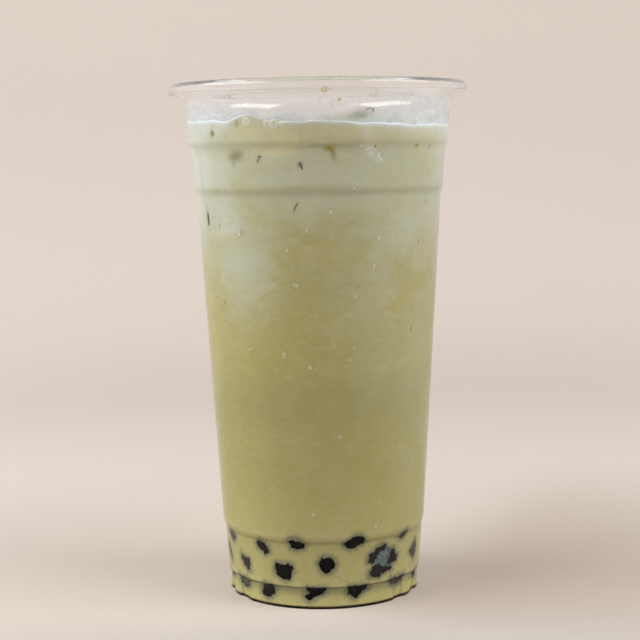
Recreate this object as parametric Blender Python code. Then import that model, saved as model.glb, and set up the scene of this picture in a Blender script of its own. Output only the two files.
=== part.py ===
"""Iced matcha latte with tapioca pearls, in a clear plastic takeaway cup.

Metres, +Z up. The cup stands on the XY plane with its axis on Z, and the plain
panel of its foot faces -Y. Every node is one closed solid, and pieces that touch
keep a gap of 0.3 mm. Angles run from -Y towards +X.
"""
import math
import random

import bmesh
import bpy
from mathutils import Euler, Matrix, Vector

MM = 0.001
GAP = 0.3 * MM
MERGE = 0.001 * MM

# Cup: outside sizes, from the foot up
CUP_HEIGHT = 154.3 * MM
RIM_RADIUS = 45.0 * MM
WALL = 0.8 * MM
BASE_UNDERSIDE = 2.0 * MM
FLOOR = 3.0 * MM
FLOOR_RADIUS = 26.9 * MM
FLOOR_BEVEL = 0.8 * MM
BASE_SLOPE = 1.0 * MM
BASE_RING_INNER = 25.8 * MM
BASE_RING_OUTER = 28.2 * MM
FOOT_RADIUS = 29.05 * MM
FOOT_ROUND = 0.9 * MM
FOOT_TOP = 5.8 * MM
LIP_TOP = 7.2 * MM
LOWER_BAND_TOP = 18.8 * MM
BODY_RADIUS_LOW = 31.05 * MM
BODY_LOW = 21.8 * MM
BODY_RADIUS_HIGH = 37.0 * MM
BODY_HIGH = 121.4 * MM
SHOULDER_RADIUS = 39.95 * MM
SHOULDER = 147.2 * MM

# Rolled rim: half a tube, open below
CURL_RADIUS = 1.45 * MM
CURL_STEPS = 6
HOLLOW_STEPS = 4
LIP_DROP = 1.05 * MM

# Foot: a wide plain panel front and back, and pressed recesses between lobes
PANEL = math.radians(96.6)
PANEL_STEPS = 10
RECESSES = 5
RECESS = math.radians(11.0)
LOBE = (math.pi - PANEL - RECESSES * RECESS) / (RECESSES - 1)
RECESS_RAMP = math.radians(1.6)
RECESS_DEPTH = 0.75 * MM
LOBE_SPREAD = math.radians(0.8)

# Latte
LATTE_STEPS = 40
LEVEL = 141.2 * MM
FILM_WIDTH = 1.2 * MM
FILM_MEAN = 1.1 * MM
FILM_LEAN = 1.0 * MM
FILM_LEAN_ANGLE = math.radians(3.5)
FILM_PEAK = 2.0 * MM
FILM_PEAK_ANGLE = math.radians(-28.0)
FILM_PEAK_WIDTH = math.radians(7.0)
FILM_RIPPLE = 0.2 * MM
SURFACE_RIPPLE = 0.25 * MM
SURFACE_RADII = [radius * MM for radius in (33.0, 24.0, 14.0)]

# Tapioca pearls: three layers against the wall, each given by its height and the
# angles of its pearls in front; behind them the layer goes on at an even spacing
PEARL_RADIUS = 4.3 * MM
PEARL_RADIUS_SPREAD = 0.35 * MM
PEARL_SIDES = 8
PEARL_RINGS = 4
PEARL_SQUASH = 0.94
PEARL_BULGE = 0.55 * MM
PEARL_HEIGHT_SPREAD = 0.5 * MM
PEARL_SPACING = math.radians(32.0)
PEARL_ANGLE_SPREAD = math.radians(2.5)
PEARL_LAYERS = (
    (6.9 * MM, (-78, -53, -32, -2, 23, 53, 77)),
    (13.0 * MM, (-94, -72, -49, -21, 5, 40, 68, 96)),
    (19.4 * MM, (-64, -34, -12, 21, 54, 84)),
)
CORE_RADIUS = 23.4 * MM
CORE_TOP = 19.0 * MM
CORE_STEPS = 32
CORE_TAPER = 1.2 * MM

# Ice: size, angle and distance from the axis, turn, lean, and how far the middle
# of its top stands above the latte
ICE = (
    (20.5 * MM, -62, 23.0 * MM, 8, 5, 2.2 * MM),
    (20.0 * MM, 33, 23.2 * MM, -11, -7, 1.8 * MM),
    (20.5 * MM, 122, 23.0 * MM, 6, 8, 2.4 * MM),
    (19.5 * MM, 212, 23.4 * MM, -7, -4, 1.6 * MM),
    (10.5 * MM, 20, 1.5 * MM, 30, 12, 1.2 * MM),
)
ICE_BEVEL = 0.13
ICE_WAVE = 0.035
ICE_ROOM = 1.4 * GAP


def place(radius, angle, height):
    """Point at a distance from the axis, an angle from -Y and a height."""
    return Vector((radius * math.sin(angle), -radius * math.cos(angle), height))


def angle_of(point):
    """Angle of a point from -Y towards +X."""
    return math.atan2(point.x, -point.y)


def turn_between(first, second):
    """Smallest turn from one angle to another, from -pi to pi."""
    return (second - first + math.pi) % math.tau - math.pi


def arc(centre, radius, start, end, steps):
    """Points of an arc in the profile's plane, both ends included."""
    points = []
    for step in range(steps + 1):
        turn = math.radians(start + (end - start) * step / steps)
        points.append((centre[0] + radius * math.cos(turn), centre[1] + radius * math.sin(turn)))
    return points


def inset(points, distance):
    """Profile that lies a distance inside an outer profile that runs upwards."""
    result = []
    for index, point in enumerate(points):
        before = Vector(points[max(index - 1, 0)])
        here = Vector(point)
        after = Vector(points[min(index + 1, len(points) - 1)])
        arriving = (here - before).normalized() if index else (after - here).normalized()
        leaving = (after - here).normalized() if index < len(points) - 1 else arriving
        middle = (arriving + leaving).normalized()
        reach = distance / max(middle.dot(arriving), 0.5)
        result.append((here.x - middle.y * reach, here.y + middle.x * reach))
    return result


def radius_at(profile, height):
    """Radius of an upward profile at a height."""
    for (low_radius, low), (high_radius, high) in zip(profile, profile[1:]):
        if low <= height <= high:
            return low_radius + (high_radius - low_radius) * (height - low) / (high - low)
    return profile[0][0] if height < profile[0][1] else profile[-1][0]


def outer_wall():
    """Outside of the wall from the foot's top to the rim, with its stacking steps."""
    return [
        (28.75 * MM, FOOT_TOP),
        (29.55 * MM, LIP_TOP),
        (30.15 * MM, LOWER_BAND_TOP),
        (BODY_RADIUS_LOW, BODY_LOW),
        (BODY_RADIUS_HIGH, BODY_HIGH),
        (37.5 * MM, 122.8 * MM),
        (38.3 * MM, 134.2 * MM),
        (38.95 * MM, 136.2 * MM),
        (39.6 * MM, 143.0 * MM),
        (SHOULDER_RADIUS, SHOULDER),
        (40.3 * MM, 149.0 * MM),
        (41.2 * MM, 150.4 * MM),
    ]


def inner_wall():
    """Inside of the cup from the edge of its floor to the rim."""
    wall = inset(outer_wall(), WALL)
    floor_edge = [(FLOOR_RADIUS, FLOOR), (wall[0][0], FLOOR + FLOOR_BEVEL)]
    return floor_edge + wall


def contents_wall():
    """Outline of what fills the cup, a gap inside its wall, floor and pressed foot."""
    wall = inset(inner_wall(), GAP)
    wall[0] = (wall[0][0], FLOOR + GAP)
    foot = radius_at(wall, FOOT_TOP) - RECESS_DEPTH
    return [(min(radius, foot) if height <= FOOT_TOP else radius, height) for radius, height in wall]


def cup_profile():
    """Whole section of the cup, from the axis under the base to the axis on the floor."""
    centre = (RIM_RADIUS - CURL_RADIUS - WALL / 2, CUP_HEIGHT - CURL_RADIUS - WALL / 2)
    underside = [
        (0.0, BASE_UNDERSIDE),
        (BASE_RING_INNER - BASE_SLOPE, BASE_UNDERSIDE),
        (BASE_RING_INNER, 0.0),
        (BASE_RING_OUTER, 0.0),
        (FOOT_RADIUS, FOOT_ROUND),
    ]
    hollow = arc(centre, CURL_RADIUS - WALL / 2, 180, 0, HOLLOW_STEPS)
    lip = [
        (centre[0] + CURL_RADIUS - WALL / 2, centre[1] - LIP_DROP),
        (RIM_RADIUS, centre[1] - LIP_DROP),
    ]
    curl = arc(centre, CURL_RADIUS + WALL / 2, 0, 180, CURL_STEPS)
    inside = list(reversed(inner_wall()))
    return underside + outer_wall() + hollow + lip + curl + inside + [(0.0, FLOOR)]


def foot_stations():
    """Angles of the cup's rings of points, as (angle, pressed in, way its edge spreads)."""
    stations = []
    for middle in (0.0, math.pi):
        for step in range(PANEL_STEPS):
            stations.append((middle - PANEL / 2 + PANEL * step / PANEL_STEPS, False, 0))
        edge = middle + PANEL / 2
        for recess in range(RECESSES):
            stations.append((edge, False, 1))
            stations.append((edge + RECESS_RAMP, True, 1))
            stations.append((edge + RECESS - RECESS_RAMP, True, -1))
            if recess < RECESSES - 1:
                stations.append((edge + RECESS, False, -1))
            edge += RECESS + LOBE
    return stations


def even_stations(count):
    """Evenly spaced angles, in the form that foot_stations gives."""
    return [(math.tau * step / count, False, 0) for step in range(count)]


def turned(name, profile, stations):
    """Spin a section round Z, then turn each ring of points to its own angle."""
    shape = bmesh.new()
    points = [shape.verts.new((radius, 0.0, height)) for radius, height in profile]
    edges = [shape.edges.new(pair) for pair in zip(points, points[1:])]
    bmesh.ops.spin(shape, geom=points + edges, cent=(0, 0, 0), axis=(0, 0, 1),
                   angle=math.tau, steps=len(stations), use_merge=True)
    bmesh.ops.remove_doubles(shape, verts=shape.verts, dist=MERGE)
    step = math.tau / len(stations)
    for point in shape.verts:
        radius = math.hypot(point.co.x, point.co.y)
        if radius < MERGE:
            continue
        station = round(math.atan2(point.co.y, point.co.x) / step) % len(stations)
        angle, pressed, spread = stations[station]
        height = point.co.z
        if height <= FOOT_TOP + MERGE:
            angle += spread * LOBE_SPREAD * (1 - height / FOOT_TOP)
            if pressed and radius > BASE_RING_OUTER - RECESS_DEPTH:
                radius -= RECESS_DEPTH
        point.co = place(radius, angle, height)
    bmesh.ops.recalc_face_normals(shape, faces=shape.faces)
    return new_object(name, shape)


def new_object(name, shape):
    """Object with a finished bmesh in it, shaded smooth except at sharp edges."""
    mesh = bpy.data.meshes.new(name)
    shape.to_mesh(mesh)
    shape.free()
    mesh.shade_smooth()
    mesh.set_sharp_from_angle(angle=math.radians(35))
    return bpy.data.objects.new(name, mesh)


def material(name, colour, roughness, alpha=1.0, transmission=0.0):
    """Principled material with its three named looks."""
    result = bpy.data.materials.new(name)
    result.use_nodes = True
    shader = result.node_tree.nodes["Principled BSDF"]
    shader.inputs["Base Color"].default_value = (*colour, 1.0)
    shader.inputs["Roughness"].default_value = roughness
    shader.inputs["Metallic"].default_value = 0.0
    shader.inputs["Alpha"].default_value = alpha
    shader.inputs["Transmission Weight"].default_value = transmission
    return result


def film_height(angle):
    """How far the film on the wall reaches above the latte's level."""
    away = turn_between(FILM_PEAK_ANGLE, angle) / FILM_PEAK_WIDTH
    lean = FILM_LEAN * math.sin(angle - FILM_LEAN_ANGLE)
    ripple = FILM_RIPPLE * math.sin(5 * angle + 1.0)
    return FILM_MEAN - lean + FILM_PEAK * math.exp(-away * away) + ripple


def surface_ripple(point):
    """Low swell of the latte's foamy top."""
    return SURFACE_RIPPLE * math.sin(point.x / (6 * MM)) * math.cos(point.y / (7 * MM))


def latte_body():
    """Latte with its film up the wall, before ice and pearls are cut out of it."""
    wall = contents_wall()
    side = [(radius, height) for radius, height in wall if height < LEVEL]
    edge = radius_at(wall, LEVEL)
    top = [(edge, LEVEL), (edge - FILM_WIDTH, LEVEL)]
    top += [(radius, LEVEL) for radius in SURFACE_RADII] + [(0.0, LEVEL)]
    bottom = [(0.0, side[0][1])]
    body = turned("latte", bottom + side + top, even_stations(LATTE_STEPS))
    for vertex in body.data.vertices:
        if abs(vertex.co.z - LEVEL) > MERGE:
            continue
        if math.hypot(vertex.co.x, vertex.co.y) > edge - FILM_WIDTH / 2:
            vertex.co.z += film_height(angle_of(vertex.co))
        else:
            vertex.co.z += surface_ripple(vertex.co)
    return body


def pearl_places():
    """Angle, height, size and turn of every pearl that lies against the wall."""
    chance = random.Random(5)
    places = []
    for height, front in PEARL_LAYERS:
        angles = [math.radians(angle) for angle in front]
        gap = math.tau - (angles[-1] - angles[0])
        count = round(gap / PEARL_SPACING)
        for step in range(1, count):
            jitter = chance.uniform(-PEARL_ANGLE_SPREAD, PEARL_ANGLE_SPREAD)
            angles.append(angles[len(front) - 1] + gap * step / count + jitter)
        for angle in angles:
            rise = chance.uniform(-PEARL_HEIGHT_SPREAD, PEARL_HEIGHT_SPREAD)
            size = PEARL_RADIUS + chance.uniform(-PEARL_RADIUS_SPREAD, PEARL_RADIUS_SPREAD)
            turn = [chance.uniform(0, math.tau) for axis in range(3)]
            places.append((angle, height + rise, size, turn))
    return places


def pearl(angle, height, size, turn, grow):
    """One pearl, a little squashed, and flat where it meets the wall or the floor."""
    limit = contents_wall()
    shape = bmesh.new()
    bmesh.ops.create_uvsphere(shape, u_segments=PEARL_SIDES, v_segments=PEARL_RINGS, radius=size)
    squash = Matrix.Diagonal((1.0, 1.0, PEARL_SQUASH, 1.0))
    bmesh.ops.transform(shape, matrix=Euler(turn).to_matrix().to_4x4() @ squash, verts=shape.verts)
    swell = (size + grow) / size
    centre = place(radius_at(limit, height) + PEARL_BULGE - size, angle, height)
    for point in shape.verts:
        point.co = centre + point.co * swell
        if grow:
            continue
        point.co.z = max(point.co.z, limit[0][1])
        radius = math.hypot(point.co.x, point.co.y)
        allowed = radius_at(limit, point.co.z)
        if radius > allowed:
            point.co.x *= allowed / radius
            point.co.y *= allowed / radius
    return new_object("pearl", shape)


def pearl_core(grow):
    """Middle of the bed of pearls, which the outer pearls are joined to."""
    bottom = 0.0 if grow else FLOOR + GAP
    height = CORE_TOP + grow - bottom
    shape = bmesh.new()
    bmesh.ops.create_cone(shape, cap_ends=True, segments=CORE_STEPS, depth=height,
                          radius1=CORE_RADIUS - CORE_TAPER + grow, radius2=CORE_RADIUS + grow)
    bmesh.ops.translate(shape, verts=shape.verts, vec=(0, 0, bottom + height / 2))
    return new_object("core", shape)


def pearl_bed(name, grow=0.0):
    """Bed of pearls as one solid; grown, it is the cutter that leaves the gap."""
    pieces = bpy.data.collections.new(name + "_pieces")
    bpy.context.scene.collection.children.link(pieces)
    for angle, height, size, turn in pearl_places():
        pieces.objects.link(pearl(angle, height, size, turn, grow))
    bed = pearl_core(grow)
    bed.name = name
    bpy.context.scene.collection.objects.link(bed)
    combine(bed, "UNION", pieces)
    bpy.context.scene.collection.objects.unlink(bed)
    return bed


def ice_cube(name, size, angle, distance, turn, lean, rise, grow=0.0):
    """Ice cube with melted edges, floating with its top just out of the latte."""
    shape = bmesh.new()
    bmesh.ops.create_cube(shape, size=size)
    bmesh.ops.bevel(shape, geom=shape.edges, offset=size * ICE_BEVEL, segments=2, profile=0.5,
                    affect="EDGES")
    for point in shape.verts:
        wave = math.sin(point.co.x / size * 5 + angle) * math.cos(point.co.y / size * 4 + turn)
        point.co *= 1 + ICE_WAVE * wave
        point.co += point.co.normalized() * grow
    spin = Euler((math.radians(lean), math.radians(-lean / 2), math.radians(angle + turn)))
    bmesh.ops.rotate(shape, cent=(0, 0, 0), matrix=spin.to_matrix(), verts=shape.verts)
    centre = place(distance, math.radians(angle), LEVEL + rise - size / 2)
    bmesh.ops.translate(shape, verts=shape.verts, vec=centre)
    return new_object(name, shape)


def combine(target, operation, operands):
    """Apply one exact Boolean with a collection to a mesh, and remove the collection."""
    change = target.modifiers.new("shape", "BOOLEAN")
    change.operation = operation
    change.operand_type = "COLLECTION"
    change.collection = operands
    change.solver = "EXACT"
    bpy.context.view_layer.update()
    result = bpy.data.meshes.new_from_object(target.evaluated_get(bpy.context.evaluated_depsgraph_get()))
    target.modifiers.clear()
    target.data = result
    for operand in list(operands.objects):
        bpy.data.objects.remove(operand)
    bpy.data.collections.remove(operands)
    keep_largest(target)


def keep_largest(target):
    """Drop loose scraps and sealed hollows that a Boolean leaves beside the main body."""
    shape = bmesh.new()
    shape.from_mesh(target.data)
    bmesh.ops.remove_doubles(shape, verts=shape.verts, dist=MERGE)
    bmesh.ops.dissolve_degenerate(shape, edges=shape.edges, dist=MERGE)
    islands = []
    waiting = set(shape.verts)
    while waiting:
        front = [waiting.pop()]
        island = list(front)
        while front:
            for edge in front.pop().link_edges:
                for point in edge.verts:
                    if point in waiting:
                        waiting.remove(point)
                        front.append(point)
                        island.append(point)
        islands.append(island)
    islands.sort(key=len)
    for island in islands[:-1]:
        bmesh.ops.delete(shape, geom=island, context="VERTS")
    shape.to_mesh(target.data)
    shape.free()


def clear_scene():
    """Remove whatever the file holds."""
    for item in list(bpy.data.objects):
        bpy.data.objects.remove(item)


def build():
    """Make every node and give each its material."""
    clear_scene()
    parts = bpy.data.collections.new("matcha_latte")
    bpy.context.scene.collection.children.link(parts)

    clear_plastic = material("clear_plastic", (0.93, 0.94, 0.95), 0.08, 0.25, 0.9)
    latte_green = material("latte", (0.42, 0.38, 0.19), 0.35)
    pearl_black = material("pearls", (0.03, 0.025, 0.02), 0.2)
    clear_ice = material("ice", (0.82, 0.86, 0.86), 0.1, 0.6, 0.7)

    cup = turned("cup", cup_profile(), foot_stations())
    cup.data.materials.append(clear_plastic)
    parts.objects.link(cup)

    pearls = pearl_bed("pearls")
    pearls.data.materials.clear()
    pearls.data.materials.append(pearl_black)
    parts.objects.link(pearls)

    cutters = bpy.data.collections.new("latte_cutters")
    bpy.context.scene.collection.children.link(cutters)
    cutters.objects.link(pearl_bed("pearl_room", GAP))
    for number, (size, angle, distance, turn, lean, rise) in enumerate(ICE, start=1):
        cube = ice_cube("ice_%d" % number, size, angle, distance, turn, lean, rise)
        cube.data.materials.append(clear_ice)
        parts.objects.link(cube)
        room = ice_cube("ice_room", size, angle, distance, turn, lean, rise, ICE_ROOM)
        cutters.objects.link(room)

    latte = latte_body()
    parts.objects.link(latte)
    combine(latte, "DIFFERENCE", cutters)
    latte.data.materials.clear()
    latte.data.materials.append(latte_green)


build()
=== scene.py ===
"""Iced matcha latte with tapioca pearls in a clear plastic cup.

Fine shapes, finishes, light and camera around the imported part. Lengths are in
millimetres and angles run from -Y towards +X, unless a name says otherwise.
"""
import random
from math import asin, ceil, cos, degrees, dist, pi, radians, sin, sqrt, tau

import bmesh
import bpy
import numpy as np
from mathutils import Euler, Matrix, Quaternion, Vector, noise


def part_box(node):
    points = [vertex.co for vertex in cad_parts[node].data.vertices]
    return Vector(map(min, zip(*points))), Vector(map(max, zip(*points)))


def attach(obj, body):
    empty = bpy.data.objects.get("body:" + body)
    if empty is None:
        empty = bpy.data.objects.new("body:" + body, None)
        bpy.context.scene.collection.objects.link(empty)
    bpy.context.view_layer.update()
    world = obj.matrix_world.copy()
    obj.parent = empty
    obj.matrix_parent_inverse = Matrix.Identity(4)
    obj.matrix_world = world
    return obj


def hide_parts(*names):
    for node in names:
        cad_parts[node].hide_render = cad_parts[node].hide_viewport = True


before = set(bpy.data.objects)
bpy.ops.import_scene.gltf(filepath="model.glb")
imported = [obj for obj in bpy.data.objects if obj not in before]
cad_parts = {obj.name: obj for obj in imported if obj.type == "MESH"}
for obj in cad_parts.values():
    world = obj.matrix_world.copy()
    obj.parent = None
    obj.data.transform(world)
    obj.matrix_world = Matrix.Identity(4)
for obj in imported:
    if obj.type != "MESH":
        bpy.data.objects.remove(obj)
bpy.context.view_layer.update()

MM = 0.001

# Cup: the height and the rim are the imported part's
CUP_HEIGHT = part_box("cup")[1].z / MM
RIM_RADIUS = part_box("cup")[1].y / MM
WALL = 0.8
FLOOR = 3.0
BASE_UNDERSIDE = 2.0
FLOOR_EDGE = 25.2
GROOVE = 0.4
GROOVE_START = 26.3
FOOT_TOP = 6.3
SKIRT_BOTTOM = 151.4
ROUND_STEPS = 5
LONGEST_STEP = 3.0
# Outside of the wall from the foot's top to the flare: radius, height and round
OUTER_CORNERS = (
    (28.75, FOOT_TOP, 0), (29.5, 6.55, 0.1), (29.62, 7.5, 0.35), (30.35, 19.7, 0.3), (31.05, 21.8, 1.4),
    (37.0, 121.4, 1), (37.5, 122.8, 1), (38.3, 134.2, 1), (38.95, 136.2, 1), (39.6, 143.0, 1.5),
    (39.95, 147.2, 0.9), (40.35, 149.3, 0.9), (41.6, 150.6, 0.8), (43.2, 152.5, 0),
)
# The same inside the foot, from the groove in its ring up to where the wall begins
INNER_FOOT = (
    (27.9, GROOVE, 0), (28.35, GROOVE + 0.05, 0.15), (27.95, FOOT_TOP + 0.15, 0.12),
    (28.7, FOOT_TOP + 0.4, 0.12),
)

# Foot: a wide plain panel front and back, and pressed recesses between lobes
PANEL = radians(96.6)
RECESSES = 5
RECESS = radians(11)
LOBE = (pi - PANEL - RECESSES * RECESS) / (RECESSES - 1)
RECESS_RAMP = radians(1.6)
RECESS_DEPTH = 0.75

# Latte: its film leans, peaks and ripples. A ripple is size, waves round the cup and start
REACH_INTO_WALL = 0.12
LEVEL = 141.2
FILM_MEAN = 1.1
FILM_LEAN = 1.0
FILM_LEAN_ANGLE = radians(3.5)
FILM_PEAK = 2.0
FILM_PEAK_ANGLE = radians(-28)
FILM_PEAK_WIDTH = radians(7)
FILM_RIPPLES = ((0.2, 5, 1), (0.14, 13, 0), (0.1, 29, 0))
FILM_FOOT = 1.9
FILM_STEPS = 8
TOP_STEPS = 36
FINE_WALL_FROM = 120.0

# Marks on the wall sit a hair outside the latte, within the wall
MARK_REACH = REACH_INTO_WALL + 0.03

# Ice: size, angle and distance from the axis, turn, lean, and how far the middle
# of its top stands above the latte
ICE = (
    (20.5, -62, 23, 8, 5, 2.2), (20, 33, 23.2, -11, -7, 1.8), (20.5, 122, 23, 6, 8, 2.4),
    (19.5, 212, 23.4, -7, -4, 1.6), (10.5, 20, 1.5, 30, 12, 1.2),
)
ICE_BEVEL = 0.13
ICE_WAVE = 0.035
ICE_LUMPS = 0.18

# Pearls. Each touches the wall inside the outline of a dark patch. Those that show in
# front are given as angle, height and outline, across and up from the middle
PEARLS_SHOWING = (
    (-64, 18.6, ((-2.3, 1.5), (1.2, 0.8), (1.9, -0.4), (0.8, -1.7), (-0.8, -0.8), (-2.3, 0.8))),
    (-34, 17.8, ((-2.2, 0.8), (-1.1, 1.7), (0.4, 1.1), (1.5, 0.2), (1.9, -1.1), (0.8, -1.7), (-0.8, -0.8),
         (-2.1, 0.2))),
    (-12.5, 19.7, ((-2.3, 0.9), (-1.2, 1.2), (0.3, 1.1), (1.2, 0.8), (2.5, 0.2), (1.9, -0.9), (0.3, -1.4),
         (-1.2, -1.1), (-1.7, -0.2))),
    (21, 20, ((-2.9, -0.3), (-1.9, 0.4), (-0.8, 1.2), (0.6, 1.8), (2.2, 1.5), (2.8, 0.4), (1.9, -0.6),
         (0, -1.3), (-1.1, -1.6), (-2.2, -1.2))),
    (55.5, 19.7, ((-1.5, -0.5), (0, 0.5), (1.5, 0.9), (1.9, 0.8), (1, -0.3), (0, -0.9), (-1, -0.8))),
    (-72, 13.2, ((-1.8, 1.5), (0, 1.9), (1.2, 0.3), (1.8, -1.2), (1.8, -2.8), (-0.6, -0.9))),
    (-49.4, 12, ((-2.2, 1.9), (-1.2, 1.4), (-0.5, 0.9), (1.2, 0.8), (1.7, 0), (1.5, -1.2), (1.7, -2.2),
         (0.8, -2.5), (-0.3, -1.4), (-1.2, -0.3), (-2, 0.6))),
    (-20.6, 11.3, ((-2.5, 1.9), (-1.9, 2.1), (-0.8, 1.8), (0.2, 1.6), (1.3, 2), (2.5, 1.7), (2.7, 0.8),
         (2, -0.8), (1.5, -2.3), (0.7, -2.6), (-0.8, -2), (-2.5, -1.1), (-2.7, 0.5))),
    (5.2, 13.4, ((-2.4, 0.6), (-1.6, 2), (-0.5, 2.3), (0.8, 2.1), (1.7, 1.4), (2.3, 0), (1.5, -1.1),
         (0.3, -2), (-0.8, -2.1), (-1.5, -1.2), (-1.9, -0.3))),
    (69.5, 13.4, ((-2.6, 0), (-0.8, 1.6), (1.1, 2.8), (1.9, 0.6), (1.5, -1.2), (0.4, -2.8),
         (-1.1, -1.2))),
)
# The same for the lowest layer, which shows in the foot, under the lip
PEARLS_IN_FOOT = (
    (-76, 5, ((-1.6, 1.3), (1.6, 1.2), (1.5, -0.2), (0.3, -0.9), (-1.4, -0.4))),
    (-54, 5.1, ((-3, 1.3), (-0.6, 1.2), (2.5, 1.2), (2.4, -0.6), (1.9, -1.3), (0, -1.6), (-1.7, -0.8),
         (-2.5, 0.3))),
    (-32.4, 4.4, ((-1.3, 1.9), (1.1, 1.9), (2.2, 1.4), (2.2, -0.2), (1.5, -1.1), (0.8, -1.7), (-0.6, -2),
         (-1.5, -1.3), (-2.4, -0.5), (-1.9, 0.6))),
    (-2, 4.6, ((-2.4, 1.7), (2.9, 1.7), (2.6, 0.8), (1.7, 0), (0.2, -0.5), (-1.1, -1.3), (-1.7, -2),
         (-2.4, -1.7), (-2.9, -0.9), (-2.3, -0.3), (-1.6, 0), (-2.1, 0.8))),
    (22.9, 5, ((-2.4, 1.4), (3.2, 1.4), (3.3, 0.6), (2.1, 0), (1, -1.1), (0.2, -1.7), (-0.7, -2),
         (-1.9, -1.2), (-2.7, -0.3), (-2.2, 0.3))),
    (53.5, 5.6, ((-3.6, 1.2), (2.6, 1.2), (2, 0), (0.7, -0.9), (-0.9, -0.8), (-2.8, -0.3))),
    (78, 5.4, ((-1.5, 0.9), (1.6, 0.9), (1.2, -0.7), (0, -1.4), (-1.1, -0.6))),
)
# One pearl is torn: it touches the wall in three places round a hollow full of milk
TORN_PEARL = (40.2, 13.2)
TORN_EDGES = (
    ((-5.1, 1.2), (-4.9, 2.1), (-3.8, 3), (-2.7, 3.8), (-1.5, 4.5), (-0.2, 4.8), (0.6, 4.4), (0.2, 3.4),
         (-1.2, 3), (-2.2, 2.1), (-3, 0.9), (-4, -0.2), (-5.1, 0.1)),
    ((2.4, 2.7), (4, 2.7), (4.6, 1.5), (5.4, 0.5), (5.2, -0.6), (3.7, -1.3), (1.5, -1.2), (2.2, 0),
         (2.7, 1)),
    ((-5, -3.7), (-4.7, -2.7), (-3.7, -1.8), (-2.2, -0.9), (-1.2, -1.5), (-0.7, -2.3), (1.2, -2.1),
         (2.6, -2), (3.1, -2.7), (2.7, -3.3), (1.8, -3.2), (0.5, -3.7), (-0.8, -4.4), (-2, -4.9),
         (-3.3, -4.5), (-4.6, -4.5)),
)
TORN_HOLLOW = ((-4, 1.5), (-2, 3.2), (1.5, 3.6), (3.6, 1.8), (3.6, -0.5), (2, -2.6), (-1, -3), (-3.8, -2))
TORN_HALF = 6.0
TORN_SEED = 3
HOLLOW_DEPTH = 0.42
PEARL_HALF = 4.1
PEARL_DEPTH = 4.0
PEARL_BEND = 2.2
PATCH_EDGE = 0.05
PEARL_SPACING = radians(32)
PEARL_SEED = 5
# Layers against the wall: the middle one, the upper one above a split, and the one in the foot
MIDDLE_LAYER = 13.0
UPPER_LAYER = 19.4
FOOT_LAYER = 4.9
LAYER_SPLIT = 16.0
HALO_THICKNESS = 0.85
# Pearls' paleness: even on those that don't show, and a painted reflection on those that show, stronger
# towards the sides
PLAIN_PALENESS = 0.1
SIDE_REFLECTION = 0.75
# Points round a pearl and rings on its front, where it shows and where it doesn't
FINE_PEARL = (84, 28)
PLAIN_PEARL = (44, 16)
BACK_RINGS = 5
BACK_TURNS = (100, 170)
# Pearls inside the bed: half-sizes, points round them and rings
BALL_ACROSS = 4.1
BALL_UP = 3.7
BALL_AROUND = 22
BALL_RINGS = 11
# Heights of the bed's layers inside, and the distance from the axis and number in each ring
BED_LAYERS = (6.4, 13.2, 19.6)
BED_RINGS = ((0, 1), (8.6, 6), (17, 12))


def place(radius, angle, height):
    """Point at a distance from the axis, an angle from -Y and a height."""
    return Vector((radius * sin(angle), -radius * cos(angle), height))


def places(rings, angles):
    """Angles, distances and heights of all points of rings, and the points themselves."""
    around = np.tile(angles, len(rings))
    radii, heights = (np.concatenate(column) for column in zip(*rings))
    points = np.stack((radii * np.sin(around), -radii * np.cos(around), heights), axis=1)
    return around, radii, heights, points


def wrapped(angle):
    """The same angle, between -pi and pi."""
    return (angle + pi) % tau - pi


def ways(around):
    """Even turns round a circle."""
    return [tau * step / around for step in range(around)]


def smooth(low, high, value):
    """Rise from 0 to 1 between two values, easing at both ends."""
    share = np.clip((value - low) / (high - low), 0.0, 1.0)
    return share * share * (3 - 2 * share)


def bell(value, width):
    """1 at zero, falling away over a width."""
    return np.exp(-(value / width) ** 2)


def rough(point, scale, seed=0.0):
    """Uneven value between about -1 and 1, with features of a size in millimetres."""
    return noise.noise(Vector(point) / scale + Vector((seed, -seed, 0.5 * seed)))


def inset(corners, distance):
    """Corners of a profile that lies inside an upward one, with the same rounds."""
    spots = [Vector(corner[:2]) for corner in corners]
    runs = [(after - here).normalized() for here, after in zip(spots, spots[1:])]
    result = []
    for corner, here, arriving, leaving in zip(corners, spots, runs[:1] + runs, runs + runs[-1:]):
        middle = (arriving + leaving).normalized()
        reach = distance / max(middle.dot(arriving), 0.5)
        result.append((here.x - middle.y * reach, here.y + middle.x * reach, corner[2]))
    return result


def rounded(corners):
    """Profile through corners that are given with the size of each one's round."""
    points = [corners[0][:2]]
    for before, here, after in zip(corners, corners[1:], corners[2:]):
        corner = Vector(here[:2])
        back = Vector(before[:2]) - corner
        ahead = Vector(after[:2]) - corner
        size = min(here[2], back.length * 0.48, ahead.length * 0.48)
        start = corner + back.normalized() * size
        end = corner + ahead.normalized() * size
        for step in range(ROUND_STEPS + 1):
            share = step / ROUND_STEPS
            bend = start * (1 - share) ** 2 + corner * 2 * share * (1 - share) + end * share ** 2
            points.append(tuple(bend))
    return points + [corners[-1][:2]]


def spaced(points, longest):
    """The same profile with its long stretches divided."""
    result = [points[0]]
    for first, second in zip(points, points[1:]):
        steps = max(1, ceil(dist(first, second) / longest))
        for step in range(1, steps + 1):
            share = step / steps
            result.append((first[0] + (second[0] - first[0]) * share,
                           first[1] + (second[1] - first[1]) * share))
    return result


OUTER = rounded(OUTER_CORNERS)
INNER = rounded([*INNER_FOOT, *inset(OUTER_CORNERS, WALL)[2:]])
INNER_RADII, INNER_HEIGHTS = zip(*INNER)
OUTER_RADII, OUTER_HEIGHTS = zip((29.1, 0.3), *OUTER)


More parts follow.
